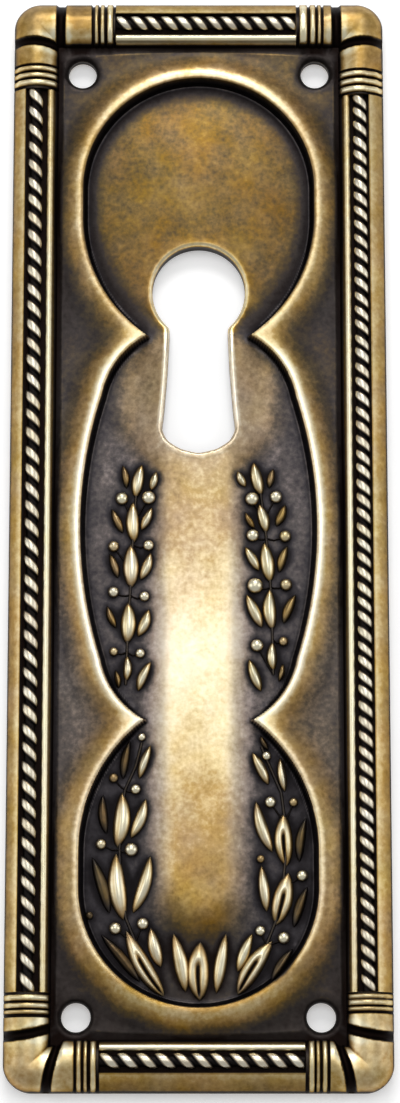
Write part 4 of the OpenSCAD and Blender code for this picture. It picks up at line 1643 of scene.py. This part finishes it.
@dataclass
class Ropes:
    """The four ropes that lie in the border's channels."""

    book: FinishBook
    lay_r: float = 0.57
    strand_len: float = 2.0

    AXIS_Z, LOW_Z, TOP_Z = 2.21, 1.9, 3.04
    CORE_R = 0.47

    def _strand(self, pitch: float, rng: np.random.Generator) -> tuple[Array, Array, Array]:
        """One strand about the origin of a rope that runs along X.

        Args:
            pitch: Distance from strand to strand.
            rng: Source of its small unevenness.

        Returns:
            Its points, faces and rubbed values.
        """
        steps, sides = 19, 12
        phi = np.linspace(-1.35, 1.35, steps)
        x = self.strand_len * (0.4 + 0.43 * pitch) * phi / np.pi
        y, z = -self.lay_r * np.sin(phi), self.lay_r * np.cos(phi)
        mid = np.column_stack([x, y, z])
        along = np.gradient(mid, axis=0)
        along /= np.linalg.norm(along, axis=1)[:, None]
        up = np.column_stack([np.zeros(steps), -np.sin(phi), np.cos(phi)])
        across = np.cross(up, along)
        across /= np.linalg.norm(across, axis=1)[:, None]
        swell = np.clip(1.0 - (np.abs(phi) / 1.4) ** 2.0, 0.05, 1.0) ** 0.7
        half_w, half_h = (0.29 + 0.09 * pitch) * (1 + rng.uniform(-0.06, 0.06)), 0.24
        turn = np.linspace(0.0, 2.0 * np.pi, sides, endpoint=False)
        c, s = np.cos(turn), np.sin(turn)
        s = np.sign(s) * np.abs(s) ** 0.75
        pts = (
            mid[:, None, :]
            + (half_w * swell)[:, None, None] * c[None, :, None] * across[:, None, :]
            + (half_h * swell)[:, None, None] * s[None, :, None] * up[:, None, :]
        )
        # Each strand is painted bright on top as wear and highlight, and darker towards its ends and black
        # beneath as painted shade.
        body = np.where(s > -0.05, 1.0 - smoothstep(0.6, 1.0, np.abs(c)), 0.0)
        reach = 1.0 - 0.45 * smoothstep(0.85, 1.35, np.abs(phi))
        wear_and_painted_light = np.clip((0.9 + rng.uniform(-0.07, 0.05)) * body[None, :] * reach[:, None], 0.04, 0.96)
        return pts.reshape(-1, 3), strip_faces(steps, sides, closed=True), wear_and_painted_light.ravel()

    def _rope(self, sculpt: Sculpt, bar: Bar, rng: np.random.Generator) -> None:
        """Adds one rope in its channel.

        Args:
            sculpt: The piece under way.
            bar: The bar it lies in.
            rng: Source of its small unevenness.
        """
        count = round((bar.end - bar.start) / bar.pitch)
        pitch = (bar.end - bar.start) / count
        parts = []
        for i in range(count):
            pts, faces, wear_and_painted_light = self._strand(pitch, rng)
            shift = bar.start + (i + 0.5) * pitch + rng.uniform(-0.07, 0.07)
            pts = pts + np.array([shift, 0.0, 0.0])
            pts[:, 0] = np.clip(pts[:, 0], bar.start + 0.01, bar.end - 0.01)
            parts.append((pts, faces, wear_and_painted_light))
        length = np.linspace(bar.start, bar.end, int((bar.end - bar.start) / 0.25))
        turn = np.linspace(-0.2, np.pi + 0.2, 11)
        bow = [(self.CORE_R * math.cos(t), self.CORE_R * math.sin(t)) for t in turn]
        core = np.array([(x, y, z) for x in length for y, z in bow])
        # The core between the strands is painted near black: patina and painted shade.
        parts.append((core, strip_faces(len(length), len(turn)), np.full(len(core), 0.05)))
        for pts, faces, wear_and_painted_light in parts:
            sculpt.add(self._place(bar, pts), faces if bar.level else faces[:, ::-1], wear_and_painted_light)

    def _place(self, bar: Bar, pts: Array) -> Array:
        """Points of a rope along X, moved onto their bar.

        Args:
            bar: The bar.
            pts: Points about the rope's own axis.

        Returns:
            The points in place.
        """
        x, y, z = pts[:, 0], pts[:, 1], np.clip(pts[:, 2] + self.AXIS_Z, self.LOW_Z, self.TOP_Z)
        middle = SIZE.border_w / 2 + bar.value.seat[1]
        mid_x, mid_y = SIZE.half_w - middle, SIZE.half_h - middle
        if bar is Bar.TOP:
            return np.column_stack([x, y + mid_y, z])
        if bar is Bar.BOTTOM:
            return np.column_stack([x, y - mid_y, z])
        side = -1.0 if bar is Bar.LEFT else 1.0
        return np.column_stack([side * mid_x + y, x, z])

    def build(self) -> None:
        """Makes the four ropes in two pieces."""
        rng = np.random.default_rng(23)
        for name, bars in (("rope_sides", (Bar.LEFT, Bar.RIGHT)), ("rope_ends", (Bar.TOP, Bar.BOTTOM))):
            sculpt = Sculpt()
            for bar in bars:
                self._rope(sculpt, bar, rng)
            sculpt.build(name, self.book.get(FinishBook.ROPE), 60.0)


@dataclass
class Laurel:
    """Leaves, berries and stems on the floor."""

    relief: Relief
    book: FinishBook
    rise: float = 0.56
    fullness: float = 1.28

    def _leaf(self, leaf: Leaf, rng: np.random.Generator) -> tuple[Array, Array, Array]:
        """One leaf as a rounded, keeled tongue with its rim under the floor.

        Args:
            leaf: The leaf.
            rng: Source of its small bend.

        Returns:
            Its points, faces and rubbed values.
        """
        steps, cols = 22, 15
        base, tip = np.array(leaf.base), np.array(leaf.tip)
        d = tip - base
        length = float(np.hypot(*d))
        side = np.array([-d[1], d[0]]) / length
        t = np.linspace(0.0, 1.0, steps)
        half = self.fullness * leaf.width / 2 * np.clip(np.sin(np.pi * t**0.9) ** 0.62, 0.03, 1.0)
        v = np.linspace(-1.0, 1.0, cols)
        bow = rng.uniform(-0.05, 0.05) * length * np.sin(np.pi * t)
        plan = base + d * t[:, None, None] + side * (half[:, None] * v[None, :] + bow[:, None])[:, :, None]
        plan = plan.reshape(-1, 2)
        body = np.clip(1.0 - v**2, 0.0, 1.0) ** 0.62
        height = np.clip(np.sin(np.pi * np.clip(t * 0.93 + 0.04, 0, 1)) ** 0.5, 0.12, 1.0)
        shape = height[:, None] * body[None, :]
        # Each leaf is painted bright along its middle as wear and highlight; the vein slit and the keel's crease
        # are painted darker as patina and painted shade.
        shine = np.clip(1.3 * body[None, :] ** 0.85 * height[:, None] - 0.18, 0.0, 1.0)
        if leaf.veined:
            reach = smoothstep(0.02, 0.12, t) * (1.0 - smoothstep(0.55, 0.72, t))
            slit = bell(v, 0.2)[None, :] * reach[:, None]
            shape, shine = shape * (1.0 - 0.55 * slit), shine * (1.0 - 0.92 * slit)
        else:
            keel = bell(v - 0.3, 0.14)[None, :] * np.sin(np.pi * t)[:, None]
            shape, shine = shape - 0.07 * keel, shine * (1.0 - 0.22 * keel)
        z = self.relief.floor(plan) - 0.14 + (self.rise + 0.14) * shape.ravel()
        wear_and_painted_light = np.clip(shine.ravel() * leaf.shine, 0.0, 1.0)
        return np.column_stack([plan, z]), strip_faces(steps, cols, flip=True), wear_and_painted_light

    def _berry(self, berry: Berry) -> tuple[Array, Array, Array]:
        """One berry as a slightly flattened ball, half sunk.

        Args:
            berry: The berry.

        Returns:
            Its points, faces and rubbed values.
        """
        rows, cols = 10, 18
        lat = np.linspace(0.02, np.pi * 0.62, rows)
        lon = np.linspace(0.0, 2.0 * np.pi, cols, endpoint=False)
        r = 1.15 * berry.radius
        ring = np.sin(lat)[:, None]
        x, y = berry.x + r * ring * np.cos(lon), berry.y + r * ring * np.sin(lon)
        floor = float(self.relief.floor(np.array([[berry.x, berry.y]]))[0])
        z = np.repeat((floor + 0.22 + r * 0.9 * np.cos(lat))[:, None], cols, 1)
        shine = np.clip(1.3 * np.cos(lat * 0.9) + 0.1, 0.0, 1.0) * berry.shine
        pts = np.column_stack([x.ravel(), y.ravel(), z.ravel()])
        return pts, strip_faces(rows, cols, closed=True), np.repeat(shine, cols)

    def _stem(self, line: Array, width: float, wear_and_painted_light: float) -> tuple[Array, Array, Array]:
        """One thin round stem along a line.

        Args:
            line: Plan points.
            width: Its width.
            wear_and_painted_light: How far it is rubbed.

        Returns:
            Its points, faces and rubbed values.
        """
        length = lengths_along(line)[-1]
        mid = points_along(line, np.linspace(0.0, length, max(5, round(length / 0.3))))
        along = np.gradient(mid, axis=0)
        along /= np.hypot(*along.T)[:, None]
        side = np.column_stack([-along[:, 1], along[:, 0]])
        v = np.linspace(-1.0, 1.0, 7)
        plan = (mid[:, None, :] + side[:, None, :] * (v * width / 2)[None, :, None]).reshape(-1, 2)
        round_up = np.tile(np.sqrt(1.0 - v**2), len(mid))
        z = self.relief.floor(plan) - 0.05 + 0.3 * round_up
        return np.column_stack([plan, z]), strip_faces(len(mid), len(v), flip=True), wear_and_painted_light * round_up

    def _spray(self, spray: Spray) -> None:
        """Makes one piece of laurel.

        Args:
            spray: Its leaves, berries and stems.
        """
        rng, sculpt = np.random.default_rng(spray.seed), Sculpt()
        for line in spray.stems:
            sculpt.add(*self._stem(np.array(line), 0.32, 0.27))
        knots = np.array([q for line in spray.stems for q in line])
        for b in spray.berries:
            reach = np.hypot(knots[:, 0] - b.x, knots[:, 1] - b.y + 1.0)
            foot = knots[reach.argmin()]
            bend = (0.4 * b.x + 0.6 * foot[0], 0.5 * (b.y + foot[1]) - 0.25)
            if reach.min() < 2.2:
                sculpt.add(*self._stem(np.array([(b.x, b.y), bend, tuple(foot)]), 0.2, 0.1))
        for leaf in spray.leaves:
            sculpt.add(*self._leaf(leaf, rng))
        for berry in spray.berries:
            sculpt.add(*self._berry(berry))
        sculpt.build(spray.name, self.book.get(FinishBook.LAUREL), 70.0)

    def build(self) -> None:
        """Makes the two sprigs and the wreath."""
        for spray in SPRAYS:
            self._spray(spray)


@dataclass
class Back:
    """The hollow side of the sheet, which shows the relief reversed."""

    relief: Relief
    worn_and_shaded: ReliefMap
    book: FinishBook
    step: float = 0.42
    rim: float = 0.79

    def _points(self) -> Array:
        """Plan points inside the flat rim.

        Returns:
            The points: an even grid, the rim's ring and the edges of the holes.
        """
        start_x, start_y = -SIZE.half_w + self.rim + 0.2, -SIZE.half_h + self.rim + 0.2
        q = grid_points(
            np.arange(start_x, SIZE.half_w - self.rim, self.step),
            np.arange(start_y, SIZE.half_h - self.rim, self.step),
        )
        inset, keyed = self.relief.inset(q), self.relief.keyhole.distance(q)
        q = q[(inset > self.rim + 0.12) & (keyed > 0.3) & (pin_gap(q) > 0.25)]
        outline = Border(self.relief, self.worn_and_shaded, self.book, 6).ring(self.rim)[::2]
        return np.vstack([q, outline, self.relief.keyhole.line, *pin_rings()])

    def build(self) -> None:
        """Makes the hollow side."""
        p = self._points()
        tris = triangulate(p)
        mid = p[tris].mean(1)
        keep = (self.relief.keyhole.distance(mid) > -0.01) & (pin_gap(mid) > -0.01)
        z = np.clip(self.worn_and_shaded.at(self.worn_and_shaded.soft, p) - 0.82, 0.22, 2.2)
        wear_and_painted_light = 0.42 - 0.35 * np.clip(self.worn_and_shaded.at(self.worn_and_shaded.broad, p) / 0.5, -1, 1) + 0.08 * ripple(p)
        back = Sculpt()
        back.add(np.column_stack([p, z]), tris[keep][:, ::-1], np.clip(wear_and_painted_light, 0.0, 1.0))
        back.build("hollow_back", self.book.get(FinishBook.BACK))


# Studio


@dataclass(frozen=True)
class Lamp:
    """One soft square lamp, in millimetres and watts."""

    name: str
    place: tuple[float, float, float]
    aim: tuple[float, float, float]
    size: tuple[float, float]
    power: float


@dataclass
class Studio:
    """Floor, lamps, world and camera."""

    lamps: tuple[Lamp, ...] = (
        Lamp("soft_overhead", (0.0, 90.0, 420.0), (0.0, -10.0, 0.0), (230.0, 200.0), 0.3),
        Lamp("soft_top", (0.0, 330.0, 300.0), (0.0, 0.0, 0.0), (170.0, 120.0), 0.62),
        Lamp("soft_left", (-420.0, 30.0, 260.0), (0.0, 0.0, 0.0), (220.0, 320.0), 0.3),
        Lamp("soft_right", (420.0, 30.0, 260.0), (0.0, 0.0, 0.0), (220.0, 320.0), 0.3),
    )
    tilt: float = 11.8
    distance: float = 295.4
    target: tuple[float, float, float] = (0.12, -1.48, 0.0)
    lens: float = 110.3
    sensor_w: float = 36.0
    floor_half_m: float = 3.0
    floor_glow: float = 0.28

    def _floor(self) -> None:
        """A wide pale floor that stays white to the eye and keeps a soft shadow."""
        mesh = bpy.data.meshes.new("floor")
        r = self.floor_half_m
        mesh.from_pydata([(-r, -r, 0), (r, -r, 0), (r, r, 0), (-r, r, 0)], [], [(0, 1, 2, 3)])
        floor = bpy.data.objects.new("floor", mesh)
        floor.location.z = -0.00005
        bpy.context.scene.collection.objects.link(floor)
        mat = bpy.data.materials.new("floor_white")
        mat.use_nodes = True
        c = NodeCanvas(mat.node_tree)
        path = c.add("ShaderNodeLightPath")
        seen = c.math("MAXIMUM", path.outputs["Is Camera Ray"], path.outputs["Is Glossy Ray"])
        seen = c.math("MAXIMUM", seen, path.outputs["Is Transmission Ray"])
        matt = c.add("ShaderNodeBsdfDiffuse", {"Color": (0.95, 0.95, 0.95, 1.0)})
        strength = c.math("MULTIPLY", seen, self.floor_glow)
        glow = c.add("ShaderNodeEmission", {"Color": (1.0, 1.0, 1.0, 1.0), "Strength": strength})
        both = c.add("ShaderNodeAddShader", {0: matt.outputs[0], 1: glow.outputs[0]})
        c.add("ShaderNodeOutputMaterial", {"Surface": both.outputs[0]})
        mesh.materials.append(mat)

    def _world(self) -> None:
        """An even white world, brighter to the eye than as light."""
        world = bpy.data.worlds.new("studio")
        world.use_nodes = True
        c = NodeCanvas(world.node_tree)
        path = c.add("ShaderNodeLightPath")
        strength = c.math("ADD", c.math("MULTIPLY", path.outputs["Is Camera Ray"], 0.55), 0.45)
        sky = c.add("ShaderNodeBackground", {"Color": (1.0, 1.0, 1.0, 1.0), "Strength": strength})
        c.add("ShaderNodeOutputWorld", {"Surface": sky.outputs[0]})
        bpy.context.scene.world = world

    def _lamp(self, lamp: Lamp) -> None:
        """Hangs one lamp.

        Args:
            lamp: Its place, aim, size and power.
        """
        light = bpy.data.lights.new(lamp.name, "AREA")
        light.shape = "RECTANGLE"
        light.size, light.size_y = lamp.size[0] * MM, lamp.size[1] * MM
        light.energy = lamp.power
        obj = bpy.data.objects.new(lamp.name, light)
        obj.location = Vector(lamp.place) * MM
        obj.rotation_mode = "QUATERNION"
        obj.rotation_quaternion = (Vector(lamp.aim) - Vector(lamp.place)).to_track_quat("-Z", "Y")
        bpy.context.scene.collection.objects.link(obj)

    def _camera(self) -> None:
        """Sets the camera over the plate, leaning towards its foot."""
        data = bpy.data.cameras.new("camera")
        data.lens, data.sensor_width = self.lens, self.sensor_w
        data.clip_start, data.clip_end = 0.01, 20.0
        cam = bpy.data.objects.new("camera", data)
        t = math.radians(self.tilt)
        back = Vector((0.0, -math.sin(t), math.cos(t)))
        cam.location = (Vector(self.target) + back * self.distance) * MM
        cam.rotation_mode = "QUATERNION"
        cam.rotation_quaternion = (-back).to_track_quat("-Z", "Y")
        bpy.context.scene.collection.objects.link(cam)
        bpy.context.scene.camera = cam

    def build(self) -> None:
        """Makes the whole studio."""
        self._floor()
        self._world()
        for lamp in self.lamps:
            self._lamp(lamp)
        self._camera()
        bpy.context.scene.view_settings.view_transform = "Standard"


def main() -> None:
    """Dresses the frame and sets up the studio."""
    logging.basicConfig(level=logging.INFO, format="%(message)s")
    relief, book = Relief(), FinishBook()
    worn_and_shaded = ReliefMap(relief)
    Panel(relief, worn_and_shaded, book).build()
    Border(relief, worn_and_shaded, book).build()
    Ropes(book).build()
    Laurel(relief, book).build()
    Back(relief, worn_and_shaded, book).build()
    Studio().build()


if __name__ == "__main__":
    main()
